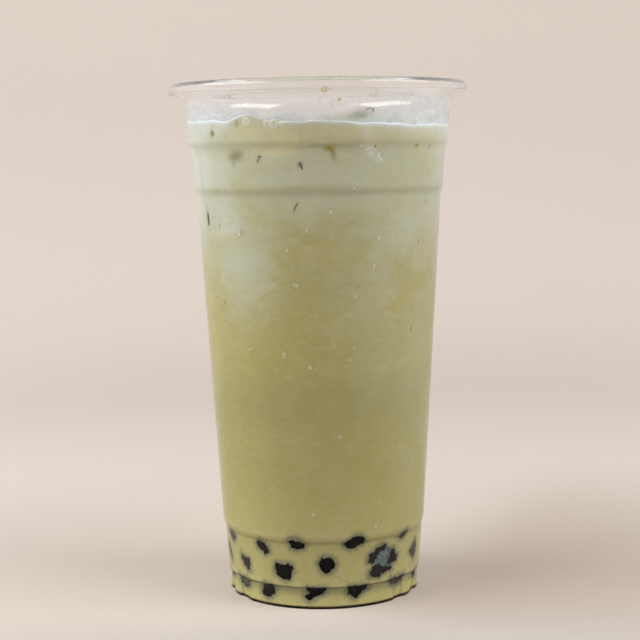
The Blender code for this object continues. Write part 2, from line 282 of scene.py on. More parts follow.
def recess_share(angle):
    """How far the foot is pressed in: 0 on a lobe or panel, 1 in a recess."""
    turned = (angle + PANEL / 2) % pi - PANEL
    across = turned % (RECESS + LOBE)
    if turned < 0 or across > RECESS:
        return 0.0
    return float(smooth(0.0, RECESS_RAMP, min(across, RECESS - across)))


def pressed(share, radius, height):
    """How far a point of the foot moves in, at a recess's share of its depth."""
    return RECESS_DEPTH * share * (1 - smooth(5.8, FOOT_TOP, height)) * smooth(26.5, 27.6, radius)


def inner_radius(angle, height):
    """Radius of the cup's inner wall."""
    radius = np.interp(height, INNER_HEIGHTS, INNER_RADII)
    return radius - pressed(np.vectorize(recess_share)(angle), radius, height)


def inside_at(height):
    """Radius of the inner wall, above the foot."""
    return float(np.interp(height, INNER_HEIGHTS, INNER_RADII))


def outside_at(height):
    """Radius of the outer wall, above the foot's recesses."""
    return float(np.interp(height, OUTER_HEIGHTS, OUTER_RADII))


def stations(front_steps, back_steps, flat_steps, ramp_steps, lobe_steps):
    """Angles round the cup, closer together where the foot's recesses begin and end."""
    angles = []

    def stretch(start, width, steps):
        angles.extend(start + width * step / steps for step in range(steps))

    for middle, panel_steps in ((0.0, front_steps), (pi, back_steps)):
        stretch(middle - PANEL / 2, PANEL, panel_steps)
        edge = middle + PANEL / 2
        for recess in range(RECESSES):
            stretch(edge, RECESS_RAMP, ramp_steps)
            stretch(edge + RECESS_RAMP, RECESS - 2 * RECESS_RAMP, flat_steps)
            stretch(edge + RECESS - RECESS_RAMP, RECESS_RAMP, ramp_steps)
            if recess < RECESSES - 1:
                stretch(edge + RECESS, LOBE, lobe_steps)
            edge += RECESS + LOBE
    return np.array(angles)


def film_top(angle):
    """Height of the film's upper edge on the wall."""
    lean = FILM_LEAN * np.sin(angle - FILM_LEAN_ANGLE)
    ripple = sum(size * np.sin(waves * angle + start) for size, waves, start in FILM_RIPPLES)
    peak = FILM_PEAK * bell(wrapped(angle - FILM_PEAK_ANGLE), FILM_PEAK_WIDTH)
    return LEVEL + FILM_MEAN - lean + peak + ripple


def add(name, data):
    """Object of some data, put in the scene."""
    piece = bpy.data.objects.new(name, data)
    bpy.context.scene.collection.objects.link(piece)
    return piece


def new_mesh(name, points, faces, finish):
    """Smooth mesh from points in millimetres."""
    mesh = bpy.data.meshes.new(name)
    mesh.from_pydata([tuple(point) for point in np.asarray(points) * MM], [], faces)
    shape = bmesh.new()
    shape.from_mesh(mesh)
    bmesh.ops.recalc_face_normals(shape, faces=shape.faces)
    shape.to_mesh(mesh)
    shape.free()
    mesh.shade_smooth()
    mesh.materials.append(finish)
    return mesh


def new_piece(name, points, faces, finish, layers):
    """Visible piece of the part, with named values for its points."""
    mesh = new_mesh(name, points, faces, finish)
    for layer, values in layers.items():
        attribute = mesh.attributes.new(layer, "FLOAT", "POINT")
        attribute.data.foreach_set("value", np.asarray(values, dtype=np.float32))
    piece = add(name, mesh)
    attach(piece, "root")
    return piece


def strip(here, there, around):
    """Faces between two rings of points, given by the number of each one's first."""
    return [(here + step, here + (step + 1) % around, there + (step + 1) % around, there + step)
            for step in range(around)]


def rings_to_faces(rings, around, offset=0):
    """Faces of a closed tube of rings, with fans from its two ends to poles."""
    starts = [offset + 1 + ring * around for ring in range(rings + 1)]
    faces = []
    for here, there in zip(starts, starts[1:-1]):
        faces += strip(here, there, around)
    for step in range(around):
        after = (step + 1) % around
        faces.append((offset, starts[0] + after, starts[0] + step))
        faces.append((starts[-1], starts[-2] + step, starts[-2] + after))
    return faces


def cup():
    """The whole cup as one closed wall, smooth, with its flared rim and fluted foot."""
    base = rounded([(3, BASE_UNDERSIDE, 0), (24.8, BASE_UNDERSIDE, 0.6), (25.8, 0, 0.35), (28.75, 0, 0.15),
                    (29.1, 0.3, 0.2), (28.75, FOOT_TOP, 0)])
    rim = rounded([(*OUTER[-1], 0), (43.9, 153.3, 0.3), (44.25, 152.9, 0.25),
                   (44.3, SKIRT_BOTTOM + 0.2, 0.15), (44.45, SKIRT_BOTTOM, 0.12), (44.85, SKIRT_BOTTOM, 0.12),
                   (RIM_RADIUS, SKIRT_BOTTOM + 0.2, 0.15), (RIM_RADIUS, 153.1, 0.5),
                   (44.1, CUP_HEIGHT, 0.7), (43.4, CUP_HEIGHT, 0.5), (*INNER[-1], 0)])
    floor = rounded([(*INNER[0], 0), (GROOVE_START, GROOVE, 0.3), (FLOOR_EDGE, FLOOR, 0.3), (3, FLOOR, 0)])
    profile = spaced(base + OUTER[1:] + rim[1:] + INNER[-2::-1] + floor[1:], LONGEST_STEP)
    angles = stations(36, 36, 3, 3, 3)
    shares = [recess_share(angle) for angle in angles]
    points = [(0.0, 0.0, BASE_UNDERSIDE)]
    for radius, height in profile:
        points += [place(radius - pressed(share, radius, height), angle, height)
                   for angle, share in zip(angles, shares)]
    points.append((0.0, 0.0, FLOOR))
    piece = new_piece("clear_cup", points, rings_to_faces(len(profile), len(angles)), clear_plastic(), {})
    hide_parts("cup")


def outside(outline, across, up):
    """Distance from places to a closed outline, negative inside it."""
    nearest = np.full(np.shape(across), 99.0)
    inside = np.zeros(np.shape(across), dtype=bool)
    for (x, y), (next_x, next_y) in zip(outline, outline[1:] + outline[:1]):
        long_x, long_y = next_x - x, next_y - y
        share = ((across - x) * long_x + (up - y) * long_y) / (long_x ** 2 + long_y ** 2)
        share = np.clip(share, 0, 1)
        nearest = np.minimum(nearest, np.hypot(across - x - share * long_x, up - y - share * long_y))
        if long_y:
            inside ^= ((y > up) != (next_y > up)) & (across < x + (up - y) * long_x / long_y)
    return np.where(inside, -nearest, nearest)


class Pearl:
    """Soft pearl that touches the wall inside the outlines of its dark patches."""

    def __init__(self, angle, height, patches, seed, half=PEARL_HALF, steps=PLAIN_PEARL):
        self.angle = radians(angle)
        self.height = height
        self.patches = patches
        self.seed = seed
        self.half = half
        self.half_down = min(half, height - lowest(28.0))
        self.steps = steps
        self.middle = float(inner_radius(self.angle, height)) + MARK_REACH - PEARL_DEPTH

    def gap(self, across, up):
        """How far its skin lies behind its patches' plane, at places beside its middle."""
        uneven = np.array([0.55 * rough((x, y, self.seed), 0.9) + 0.5 * rough((x, y, self.seed), 0.45)
                           for x, y in zip(across, up)])
        least = np.full(np.shape(across), PEARL_DEPTH)
        for outline, sunk in self.patches:
            bend = np.clip((outside(outline, across, up) + uneven + PATCH_EDGE) / PEARL_BEND, 0.0, 1.0)
            least = np.minimum(least, sunk + PEARL_DEPTH * (1 - np.sqrt(1 - bend ** 2)))
        return least

    def halo(self, angles, heights, radii):
        """Numbers of the places that it lies near, and how strongly it shows there."""
        across = wrapped(angles - self.angle) * radii
        up = heights - self.height
        near = np.nonzero((np.abs(across) < self.half + 2) & (np.abs(up) < self.half + 2))[0]
        return near, np.exp(-self.gap(across[near], up[near]) / HALO_THICKNESS)

    def ring(self, turn):
        """Places beside its middle on one ring, by its turn from the side that faces the wall."""
        turns = np.array(ways(self.steps[0]))
        up = np.sin(turns) * sin(turn)
        return self.half * sin(turn) * np.cos(turns), up * np.where(up > 0, self.half, self.half_down)

    def put(self, across, up, outward):
        """Point of the pearl, kept above the floor."""
        angle = self.angle + across / max(outward, self.middle)
        return place(outward, angle, max(self.height + up, lowest(outward)))

    def body(self):
        """The pearl, with rings close together where it meets the wall. Those that show at the sides are
        paler, a painted reflection off the wall."""
        around, front = self.steps
        limit = self.middle + PEARL_DEPTH
        points = [self.put(0.0, 0.0, limit - float(self.gap(np.zeros(1), np.zeros(1))[0]))]
        for ring in range(1, front + 1):
            across, up = self.ring(asin(ring / (front + 0.3)))
            walls = inner_radius(self.angle + across / limit, self.height + up) + MARK_REACH
            points += [self.put(*spot) for spot in zip(across, up, walls - self.gap(across, up))]
        start, end = BACK_TURNS
        for ring in range(BACK_RINGS):
            turn = radians(start + (end - start) * ring / (BACK_RINGS - 1))
            outward = self.middle + PEARL_DEPTH * cos(turn)
            points += [self.put(x, y, outward) for x, y in zip(*self.ring(turn))]
        points.append(self.put(0, 0, self.middle - PEARL_DEPTH))
        shows = self.steps == FINE_PEARL
        # Painted reflection, stronger towards the sides, on pearls that show; an even paleness on the others
        pale = SIDE_REFLECTION * abs(sin(self.angle)) ** 3 if shows else PLAIN_PALENESS
        return points, front + BACK_RINGS, around, [pale] * len(points)


def lowest(radius):
    """Height that a pearl reaches down to: the floor, and a little into the groove."""
    return float(np.interp(radius, (FLOOR_EDGE, GROOVE_START), (FLOOR - 0.05, 2.4)))


def random_outline(chance, wide, tall):
    """Uneven outline of a dark patch."""
    count = chance.randint(7, 11)
    turn = chance.uniform(0, tau)
    outline = []
    for corner in range(count):
        way = turn + tau * corner / count
        size = chance.uniform(0.72, 1.18)
        outline.append((wide * size * cos(way), tall * size * sin(way)))
    return tuple(outline)


def wall_pearls():
    """Every pearl that lies against the wall: those that show in front, and those behind."""
    chance = random.Random(PEARL_SEED)
    layers = (
        (MIDDLE_LAYER, [row for row in PEARLS_SHOWING if row[1] < LAYER_SPLIT]),
        (UPPER_LAYER, [row for row in PEARLS_SHOWING if row[1] > LAYER_SPLIT]),
        (FOOT_LAYER, PEARLS_IN_FOOT),
    )
    pearls = []
    for height, front in layers:
        for angle, row_height, outline in front:
            seed = chance.uniform(0, 20)
            pearls.append(Pearl(angle, row_height, [(outline, 0)], seed, steps=FINE_PEARL))
        first, last = radians(front[0][0]), radians(front[-1][0])
        gap = tau - (last - first)
        count = round(gap / PEARL_SPACING)
        free = height > FOOT_LAYER
        for step in range(1, count):
            angle = degrees(last + gap * step / count) + chance.uniform(-3, 3)
            rise = chance.uniform(-0.5, 0.5) if free else 0
            tall = chance.uniform(1.5, 2.4) if free else 1.5
            outline = random_outline(chance, chance.uniform(1.8, 2.8), tall)
            pearls.append(Pearl(angle, height + rise, [(outline, 0)], chance.uniform(0, 20)))
    torn = [(outline, 0) for outline in TORN_EDGES] + [(TORN_HOLLOW, HOLLOW_DEPTH)]
    pearls.append(Pearl(*TORN_PEARL, torn, TORN_SEED, TORN_HALF, FINE_PEARL))
    return pearls


def ball(middle, seed):
    """Lumpy pearl that lies on the floor or on other pearls."""
    points = [middle - Vector((0, 0, BALL_UP))]
    for ring in range(1, BALL_RINGS + 1):
        turn = pi * ring / (BALL_RINGS + 1)
        out = BALL_ACROSS * sin(turn)
        for way in ways(BALL_AROUND):
            off = Vector((out * cos(way), out * sin(way), -BALL_UP * cos(turn)))
            points.append(middle + off * (1 + 0.04 * rough(off, 2.5, seed)))
    points.append(middle + Vector((0, 0, BALL_UP)))
    for point in points:
        point.z = max(point.z, FLOOR - 0.13)
    return points, BALL_RINGS, BALL_AROUND, [PLAIN_PALENESS] * len(points)


def bed_pearls():
    """The pearls that lie inside the bed, ring by ring and layer by layer."""
    chance = random.Random(PEARL_SEED + 1)
    balls = []
    for layer, height in enumerate(BED_LAYERS):
        for radius, count in BED_RINGS:
            for step in range(count):
                angle = tau * (step + 0.5 * layer) / count + chance.uniform(-0.06, 0.06)
                rise = chance.uniform(-0.4, 0.4) if layer else 0
                balls.append(ball(place(radius, angle, height + rise), len(balls)))
    return balls


def gather(name, bodies, finish, layer="edge"):
    """One piece from closed bodies: the points, rings, points in a ring and values of each."""
    points = []
    faces = []
    values = []
    for more, rings, around, marks in bodies:
        faces += rings_to_faces(rings, around, len(points))
        points += more
        values += marks
    return new_piece(name, points, faces, finish, {layer: values})


def pearls(lying):
    """The bed of tapioca pearls."""
    bodies = [pearl.body() for pearl in lying] + bed_pearls()
    piece = gather("tapioca_pearls", bodies, pearl_skin(), "pale")
    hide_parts("pearls")


def ice_shape(size, angle, distance, turn, lean, rise):
    """Ice cube with melted edges, as a bmesh in its place."""
    shape = bmesh.new()
    bmesh.ops.create_cube(shape, size=size)
    bmesh.ops.bevel(shape, geom=shape.edges, offset=size * ICE_BEVEL, segments=4, profile=0.5, affect="EDGES")
    bmesh.ops.triangulate(shape, faces=shape.faces)
    long_edges = [edge for edge in shape.edges if edge.calc_length() > size * 0.3]
    bmesh.ops.subdivide_edges(shape, edges=long_edges, cuts=6, use_grid_fill=True)
    for point in shape.verts:
        wave = sin(point.co.x / size * 5 + angle) * cos(point.co.y / size * 4 + turn)
        point.co *= 1 + ICE_WAVE * wave
        point.co += point.co.normalized() * ICE_LUMPS * rough(point.co, 3.2, angle)
    spin = Euler((radians(lean), radians(-lean / 2), radians(angle + turn)))
    bmesh.ops.rotate(shape, cent=(0, 0, 0), matrix=spin.to_matrix(), verts=shape.verts)
    middle = place(distance, radians(angle), LEVEL + rise - size / 2)
    bmesh.ops.translate(shape, verts=shape.verts, vec=middle)
    return shape


def ice():
    """The ice cubes, each its own piece."""
    finish = clouded_ice()
    for number, cube in enumerate(ICE, start=1):
        shape = ice_shape(*cube)
        shape.verts.ensure_lookup_table()
        points = [tuple(point.co) for point in shape.verts]
        faces = [tuple(point.index for point in face.verts) for face in shape.faces]
        shape.free()
        piece = new_piece("ice_cube_%d" % number, points, faces, finish, {})
        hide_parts("ice_%d" % number)


def to_cube_edge(x, y):
    """Distance from places to the nearest ice cube's side, negative inside it."""
    nearest = np.full(np.shape(x), 99.0)
    for size, angle, distance, turn, *_ in ICE:
        middle = place(distance, radians(angle), 0)
        spin = radians(angle + turn)
        across = (x - middle.x) * cos(spin) + (y - middle.y) * sin(spin)
        along = -(x - middle.x) * sin(spin) + (y - middle.y) * cos(spin)
        corner = size * ICE_BEVEL
        out_x = np.abs(across) - size / 2 + corner
        out_y = np.abs(along) - size / 2 + corner
        beyond = np.hypot(np.maximum(out_x, 0), np.maximum(out_y, 0))
        nearest = np.minimum(nearest, beyond + np.minimum(np.maximum(out_x, out_y), 0) - corner)
    return nearest


def surface_height(x, y):
    """Height of the latte's top: a low swell, drawn up at the ice, and dipping under it."""
    swell = 0.25 * np.sin(x / 6) * np.cos(y / 7) + 0.08 * np.sin(x / 2.1 + y / 3.0) * np.cos(y / 1.7)
    away = to_cube_edge(x, y)
    drawn_up = 0.45 * np.exp(-np.maximum(away, 0) / 0.9)
    dip = 4.5 * smooth(0.1, 1.6, -away)
    return LEVEL + swell + drawn_up - dip


def latte_rings(angles):
    """Rings of the latte: along its bottom, up the wall, over the film and in."""
    edge = film_top(angles)
    bottom = [(radius, FLOOR) for radius in (4.0, 9.0, 14.0, 19.0, 23.0, FLOOR_EDGE - 0.3)]
    bottom += [(FLOOR_EDGE + 0.1, FLOOR - 0.3), (GROOVE_START - 0.3, GROOVE + 0.6)]
    bottom += [(radius, GROOVE) for radius in (GROOVE_START + 0.1, 27.0, 27.7)]
    shares = np.array([recess_share(angle) for angle in angles])
    rings = [(radius - pressed(shares, radius, height), np.full(angles.shape, height - 0.1))
             for radius, height in bottom]
    ledge = FOOT_TOP + np.array((0.1, 0.16, 0.38, 0.45))
    low = np.sort(np.concatenate((np.arange(GROOVE + 0.1, 24.5, 0.3), np.arange(24.5, 85, 3),
                                  np.arange(85, FINE_WALL_FROM, 1.6), ledge)))
    levels = [np.full(angles.shape, height) for height in low]
    levels += [FINE_WALL_FROM + (edge - 0.12 - FINE_WALL_FROM) * share for share in np.linspace(0, 1, 40)]
    rings += [(inner_radius(angles, heights) + REACH_INTO_WALL, heights) for heights in levels]
    wall = inner_radius(angles, edge)
    rings += [(wall - 0.02, edge), (wall - 0.2, edge + 0.02)]
    climbing = [(wall - 0.25 - (FILM_FOOT - 0.25) * share, (1 - share) ** 2.2)
                for share in np.linspace(0.1, 1, FILM_STEPS)]
    inward = [((wall - FILM_FOOT) * (1 - share), 0) for share in np.linspace(0, 0.98, TOP_STEPS)[1:]]
    for radii, climb in climbing + inward:
        level = surface_height(radii * np.sin(angles), -radii * np.cos(angles))
        rings.append((radii, level + (edge - level) * climb))
    return rings


# Zones seen through the wall: angle, height, half-width in degrees, half-height, strength
# and tilt. Clouds are pale, milk is bluish, stains are ochre, cream is light
CLOUDS = (
    (-68, 121, 14, 22, 0.4), (-50, 118, 15, 8, 0.35, -10), (-38, 103, 12, 14, 0.4, 10),
    (-24, 104, 9, 11, 0.25), (36, 105, 13, 10, 0.25, 10), (52, 112, 14, 10, 0.3), (10, 121, 30, 8, 0.25),
    (-12, 127, 18, 6, 0.2), (150, 112, 40, 14, 0.4), (-140, 98, 36, 15, 0.4, 12),
)
MILK = (
    (-84, 131, 28, 20, 0.95), (78, 136, 18, 7, 0.8), (74, 119, 14, 11, 0.4), (60, 78, 18, 30, 0.2),
    (-62, 131, 14, 14, 0.55), (-60, 139.5, 15, 4, 0.75), (24.3, 137.5, 4, 3.1, 1, 20),
    (26.6, 134.2, 1.8, 2.2, 0.9, 30), (30, 131.6, 1.2, 1.8, 0.7, 20), (-14.5, 134, 10, 1.1, 0.5, 2),
    (-38, 92, 22, 13, 0.16), (28, 88, 22, 13, 0.17), (-48, 128, 9, 9, 0.3), (-44, 113, 12, 6, 0.35, -12),
    (80, 126, 18, 24, 0.4), (40, 120, 10, 5, 0.22, 10), (38, 76, 24, 18, 0.14), (66, 56, 26, 34, 0.13),
    (0, 119, 14, 4, 0.08), (140, 124, 30, 12, 0.5), (-150, 126, 26, 12, 0.4),
)
STAINS = (
    (-40, 123.2, 26, 1.1, 0.35), (19, 136.4, 5, 1.4, 0.5, 10), (8, 138.8, 36, 3.4, 0.42),
    (-10, 137.6, 7.5, 3.4, 0.6), (-48, 108, 13, 1.8, 0.5, 12), (-70, 104, 10, 2.4, 0.4, 20),
    (2, 105, 15, 4.5, 0.6, -4), (1, 115.5, 9, 4, 0.5), (-14, 100, 12, 2, 0.4, 14),
    (50, 93, 15, 3.2, 0.6, 24), (63, 104, 8, 8, 0.35), (-32, 76, 26, 9, 0.3), (-60, 84, 15, 8, 0.3),
    (120, 104, 24, 3, 0.5, 14), (165, 90, 20, 5, 0.4, -10), (-120, 112, 20, 4, 0.5, 8),
)
CREAM = (
    (-22, 139.5, 16, 3.6, 0.5), (-18, 135, 16, 3.2, 0.4), (-10, 137.6, 7.5, 3.4, 0.75),
    (24.5, 137.4, 4, 3, 0.6, 20), (12, 138.4, 34, 3.2, 0.4), (62, 137, 24, 4.5, 0.35),
    (-14.5, 133.9, 9.5, 0.9, 1, 2), (-24.5, 135, 2.4, 0.6, 0.8, -20), (20.5, 124, 1.2, 0.5, 0.4, -30),
    (-66, 74, 10, 16, 0.2),
)
# Painted shade in lines round the wall where it changes: height, half-height and strength
STEP_SHADE_LINES = ((136.2, 0.8, 0.2), (122.8, 1.0, 0.2), (20.0, 0.5, 0.45))
# Ochre smudges, with their half-width in millimetres; the flat ones along the steps add painted shade there
SMUDGES = (
    (8.2, 135, 1.4, 0.8, 0.95), (9.6, 133.4, 0.8, 1.5, 0.5, 15), (51.1, 135.3, 0.8, 0.7, 0.8),
    (-48.2, 139.5, 0.95, 1, 0.85), (-32.6, 142, 0.8, 1.1, 0.5, 20), (-35.5, 133, 3.2, 1.9, 0.42),
    (9, 137.2, 9, 1.1, 0.12), (7.5, 135.5, 8.5, 0.65, 0.42), (0, 123.6, 16, 1, 0.25),
    (-60, 107, 4, 1.2, 0.2, 10),
)
# Dark marks with a soft edge, with their half-width in millimetres
SHADES = (
    (52, 3.6, 2.2, 2.4, 0.3), (0, 61, 60, 9, 0.13), (8, 97, 14, 7, 0.06), (2, 112, 16, 6, 0.07),
    (-34.8, 132.9, 2.3, 1.3, 0.42, 8), (-36.5, 131.4, 0.8, 1.8, 0.25), (-31.9, 133.6, 0.6, 1.2, 0.25),
    (8.6, 134.8, 1.7, 1.1, 0.3), (10.2, 132.4, 0.9, 2, 0.25, 14), (-4.4, 130.3, 1, 1.1, 0.5),
    (-22.9, 132.4, 0.9, 0.8, 0.4), (-61.3, 115.2, 1.3, 3, 0.5), (-7, 118.3, 0.7, 1.8, 0.25, -25),
    (-63, 125, 0.7, 7, 0.22), (22, 136.8, 2.2, 1.6, 0.15), (-3.4, 137.5, 0.35, 3.6, 0.15),
    (-12, 22.2, 2.3, 1.2, 0.34), (21.5, 22.9, 2.2, 1, 0.16), (49, 19.2, 1.2, 0.6, 0.3),
    (28.5, 8.6, 0.5, 0.4, 0.3), (-48, 139.6, 0.9, 0.9, 0.3),
)
# Grey places in the film above the drink, in degrees again
MURK = ((21.5, 144.3, 5.5, 1.5, 0.6, 5), (15, 143.6, 8, 1.2, 0.4, 5))
# The torn pearl's hollow is full of dark milk
HOLLOW = (41.2, 13.6, 7.4, 3.9)
# Painted highlights in pale lines at the foot's lip and above the lower band: height, half-height, strength
PAINTED_HIGHLIGHT_LINES = ((7.4, 0.6, 0.35), (22.0, 0.9, 0.3))
# Painted shade on the latte under the lip and under the step above the band
UNDER_LIP_SHADE = 0.5
UNDER_STEP_SHADE = 0.1
TOP_FROTH = 0.4
MARKED_RADIUS = 37.0
# The drink is deep below and pale above this height, which sinks at the sides
PALE_FROM = 112
PALE_SINKS = 12
PEARLS_END = 27


def spot(angles, heights, angle, height, half_width, half_height, strength=1.0, tilt=0):
    """Soft ellipse on the wall, strongest in its middle; its half-width is in degrees."""
    across = np.degrees(wrapped(angles - radians(angle)))
    up = heights - height
    turn = radians(tilt)
    wide = (across * cos(turn) + up * sin(turn)) / half_width
    tall = (up * cos(turn) - across * sin(turn)) / half_height
    return strength * np.exp(-(wide ** 2 + tall ** 2) ** 1.4)


def strongest(rows, angles, heights):
    """Strength of the strongest of several soft ellipses."""
    return np.max([spot(angles, heights, *row) for row in rows], axis=0)


def marks_of(rows, angles, heights):
    """The same for marks that are given with their half-width in millimetres."""
    wide = [(*row[:2], degrees(row[2] / MARKED_RADIUS), *row[3:]) for row in rows]
    return strongest(wide, angles, heights)


def froth_of(around, heights, slant, side, from_axis):
    """White of the film's edge, weaker at its peak, and of the foam on the drink's top."""
    below = film_top(around) - heights
    froth = bell(below, 0.75) + 0.38 * bell(below, 1.0 + 2.0 * slant)
    turned = np.degrees(wrapped(around))
    froth = froth * (1 - 0.78 * bell(turned + 24, 15) - 0.4 * bell(turned - 4, 16))
    on_top = TOP_FROTH * (0.4 + 1.2 * bell(from_axis - 38, 2.5))
    return np.where(side, np.minimum(froth, 1), np.where(heights > 100, on_top, 0.0))


def latte(lying):
    """The drink, reaching just into the cup's wall, with the film that climbs it."""
    angles = stations(150, 60, 4, 3, 5)
    rings = latte_rings(angles)
    around, radii, heights, points = places(rings, angles)
    side = radii > np.interp(heights, INNER_HEIGHTS, INNER_RADII) - RECESS_DEPTH - 0.1
    side &= heights > GROOVE

    slant = np.abs(np.sin(around - FILM_LEAN_ANGLE))
    cloud = smooth(-26, 32, heights - PALE_FROM + PALE_SINKS * slant)
    cloud = sum((spot(around, heights, *row) for row in CLOUDS), cloud)
    milk, stain, cream = (strongest(rows, around, heights) for rows in (MILK, STAINS, CREAM))
    # Painted highlights in pale lines join the cream
    cream = sum((strength * bell(heights - height, half) for height, half, strength in PAINTED_HIGHLIGHT_LINES), cream)
    # Ochre smudges, with painted shade in lines at the steps
    line = marks_of(SMUDGES, around, heights)
    for height, half, strength in STEP_SHADE_LINES:
        line = np.maximum(line, strength * bell(heights - height, half))
    # Painted shade under the lip and under the step, added to the dark marks
    under_lip_shade = UNDER_LIP_SHADE * smooth(2.3, 6.8, heights) * (heights < FOOT_TOP + 0.3)
    under_step_shade = UNDER_STEP_SHADE * smooth(13, 20, heights) * (heights < 20.3)
    shade = marks_of(SHADES, around, heights) + under_lip_shade + under_step_shade
    halo = np.zeros(around.shape)
    low = np.nonzero(side & (heights < PEARLS_END))[0]
    for pearl in lying:
        near, strength = pearl.halo(around[low], heights[low], radii[low])
        halo[low[near]] = np.maximum(halo[low[near]], strength)
    froth = froth_of(around, heights, slant, side, np.hypot(points[:, 0], points[:, 1]))

    # Each layer with its values at the middles of the bottom and of the top
    layers = {
        "cloud": (cloud, 0.0, 1.0),
        "milk": (side * milk, 0.0, 0.0),
        "stain": (side * stain, 0.0, 0.0),
        "cream": (np.where(side, cream, 0.3), 0.0, 0.3),
        "line": (side * line, 0.0, 0.0),
        "low": (1 - smooth(14, 46, heights), 1.0, 0.0),
        # Dark marks, with painted shade under the lip and the step
        "shade": (side * shade, 0.0, 0.0),
        "halo": (halo, 0.0, 0.0),
        "hollow": (side * spot(around, heights, *HOLLOW), 0.0, 0.0),
        "froth": (froth, 0.0, 0.4 * TOP_FROTH),
    }
    layers = {name: (first, *values, last) for name, (values, first, last) in layers.items()}
    middle = (0.0, 0.0, float(surface_height(np.zeros(1), np.zeros(1))[0]))
    points = [(0.0, 0.0, FLOOR - 0.1), *points, middle]
    piece = new_piece("matcha_latte", points, rings_to_faces(len(rings), len(angles)), milky_matcha(), layers)
    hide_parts("latte")


# Forms of small bodies, as the two powers that raised() takes: round, shallow and flat
DOME = (2, 0.5)
LOW_DOME = (2, 1)
FLAT = (6, 1)


def raised(form, share):
    """Height of a small body's front: 1 in its middle and 0 at its edge."""
    return (1 - share ** form[0]) ** form[1]


def blister(angle, height, half_width, half_height, tilt=0, depth=0.05, reach=MARK_REACH - 0.02, form=FLAT,
            radius_of=inside_at, back=-0.12, around=20, rings=5):
    """Small body on a wall: an oval that starts at a reach from the wall and is raised from
    there by a form's share of a depth, with its other side further back."""
    turn = radians(tilt)

    def put(share, way, out):
        share *= 1 + 0.12 * rough((cos(way) * 2, sin(way) * 2, angle), 1.0, height)
        wide = half_width * share * cos(way)
        tall = half_height * share * sin(way)
        across = wide * cos(turn) - tall * sin(turn)
        up = wide * sin(turn) + tall * cos(turn)
        radius = radius_of(height + up)
        return place(radius + out, radians(angle) + across / radius, height + up)

    circles = [(ring / rings, reach + depth * raised(form, ring / rings)) for ring in range(1, rings + 1)]
    points = [put(0.0, 0.0, reach + depth)]
    for share, out in circles + [(0.96, reach + back)]:
        points += [put(share, way, out) for way in ways(around)]
    points.append(put(0.0, 0.0, reach + back))
    values = np.repeat([share for share, _ in circles] + [1.0], around)
    return points, rings + 1, around, [0.0, *values, 0.0]


def floating_dome(x, y, size, around=20, rings=6):
    """Half a bubble that floats on the drink."""
    level = float(surface_height(np.array(x), np.array(y)))
    points = [Vector((x, y, level + 0.55 * size))]
    shares = [ring / rings for ring in range(1, rings + 1)]
    for share in shares:
        points += [Vector((x + size * share * cos(way), y + size * share * sin(way),
                           level + 0.55 * size * raised(DOME, share))) for way in ways(around)]
    points.append(Vector((x, y, level - 0.1)))
    return points, rings, around, [0.0, *np.repeat(shares, around), 1.0]


# Flat marks and drops on the wall: angle, height, half-width, half-height and tilt.
# First the dark slits, then spots of ochre foam, both under the film
SLITS = (
    (-73.3, 139, 0.22, 0.7, -10), (-22.7, 132.7, 0.42, 0.26, 35), (-23.7, 131.4, 0.12, 0.7, -25),
    (-4.5, 130.5, 0.3, 0.42, 10), (-3.8, 129.6, 0.2, 0.8, 22), (61.2, 135, 0.2, 0.7, -15),
    (-60.8, 114.5, 0.65, 2, 3), (-7, 118.5, 0.15, 1.4, -28), (28.3, 135.2, 0.24, 0.24),
)
BROWN_SPOTS = (
    (51.1, 135.3, 0.5, 0.45), (8.4, 135, 1.1, 0.65), (9.2, 134.2, 0.6, 0.5),
)
# Strings of pale foam against the wall
FOAM_STRINGS = (
    (22.3, 135.1, 0.75, 0.17, -38), (24.2, 134.2, 0.7, 0.16, 12), (25.5, 134.6, 0.35, 0.15, 60),
    (29, 133.6, 0.17, 0.7, 24), (30.4, 132.5, 0.19, 0.85, 18), (31, 131.6, 0.4, 0.17, -15),
    (25.6, 144.9, 0.4, 0.3, 20),
)
# A cluster of dark bubbles at the ice
DARK_BUBBLES = (
    (23.9, 145.4, 0.3, 0.22), (24.8, 145.75, 0.26, 0.2), (25.9, 145.8, 0.24, 0.2),
    (26.7, 145.4, 0.22, 0.32), (27, 144.9, 0.16, 0.24),
)
# Bubbles caught under the film's edge: angle, height, radius
LINE_BUBBLES = (
    (-53.7, 141.1, 0.6), (-49.2, 142, 0.75), (-27.7, 142.5, 1.3), (-18.6, 141.9, 0.75),
    (-15, 141.7, 1.35), (-11.6, 141.5, 0.6), (51.3, 140.3, 0.6), (66.4, 140.4, 0.9), (-67, 141.6, 0.45),
    (33, 140.9, 0.4),
)
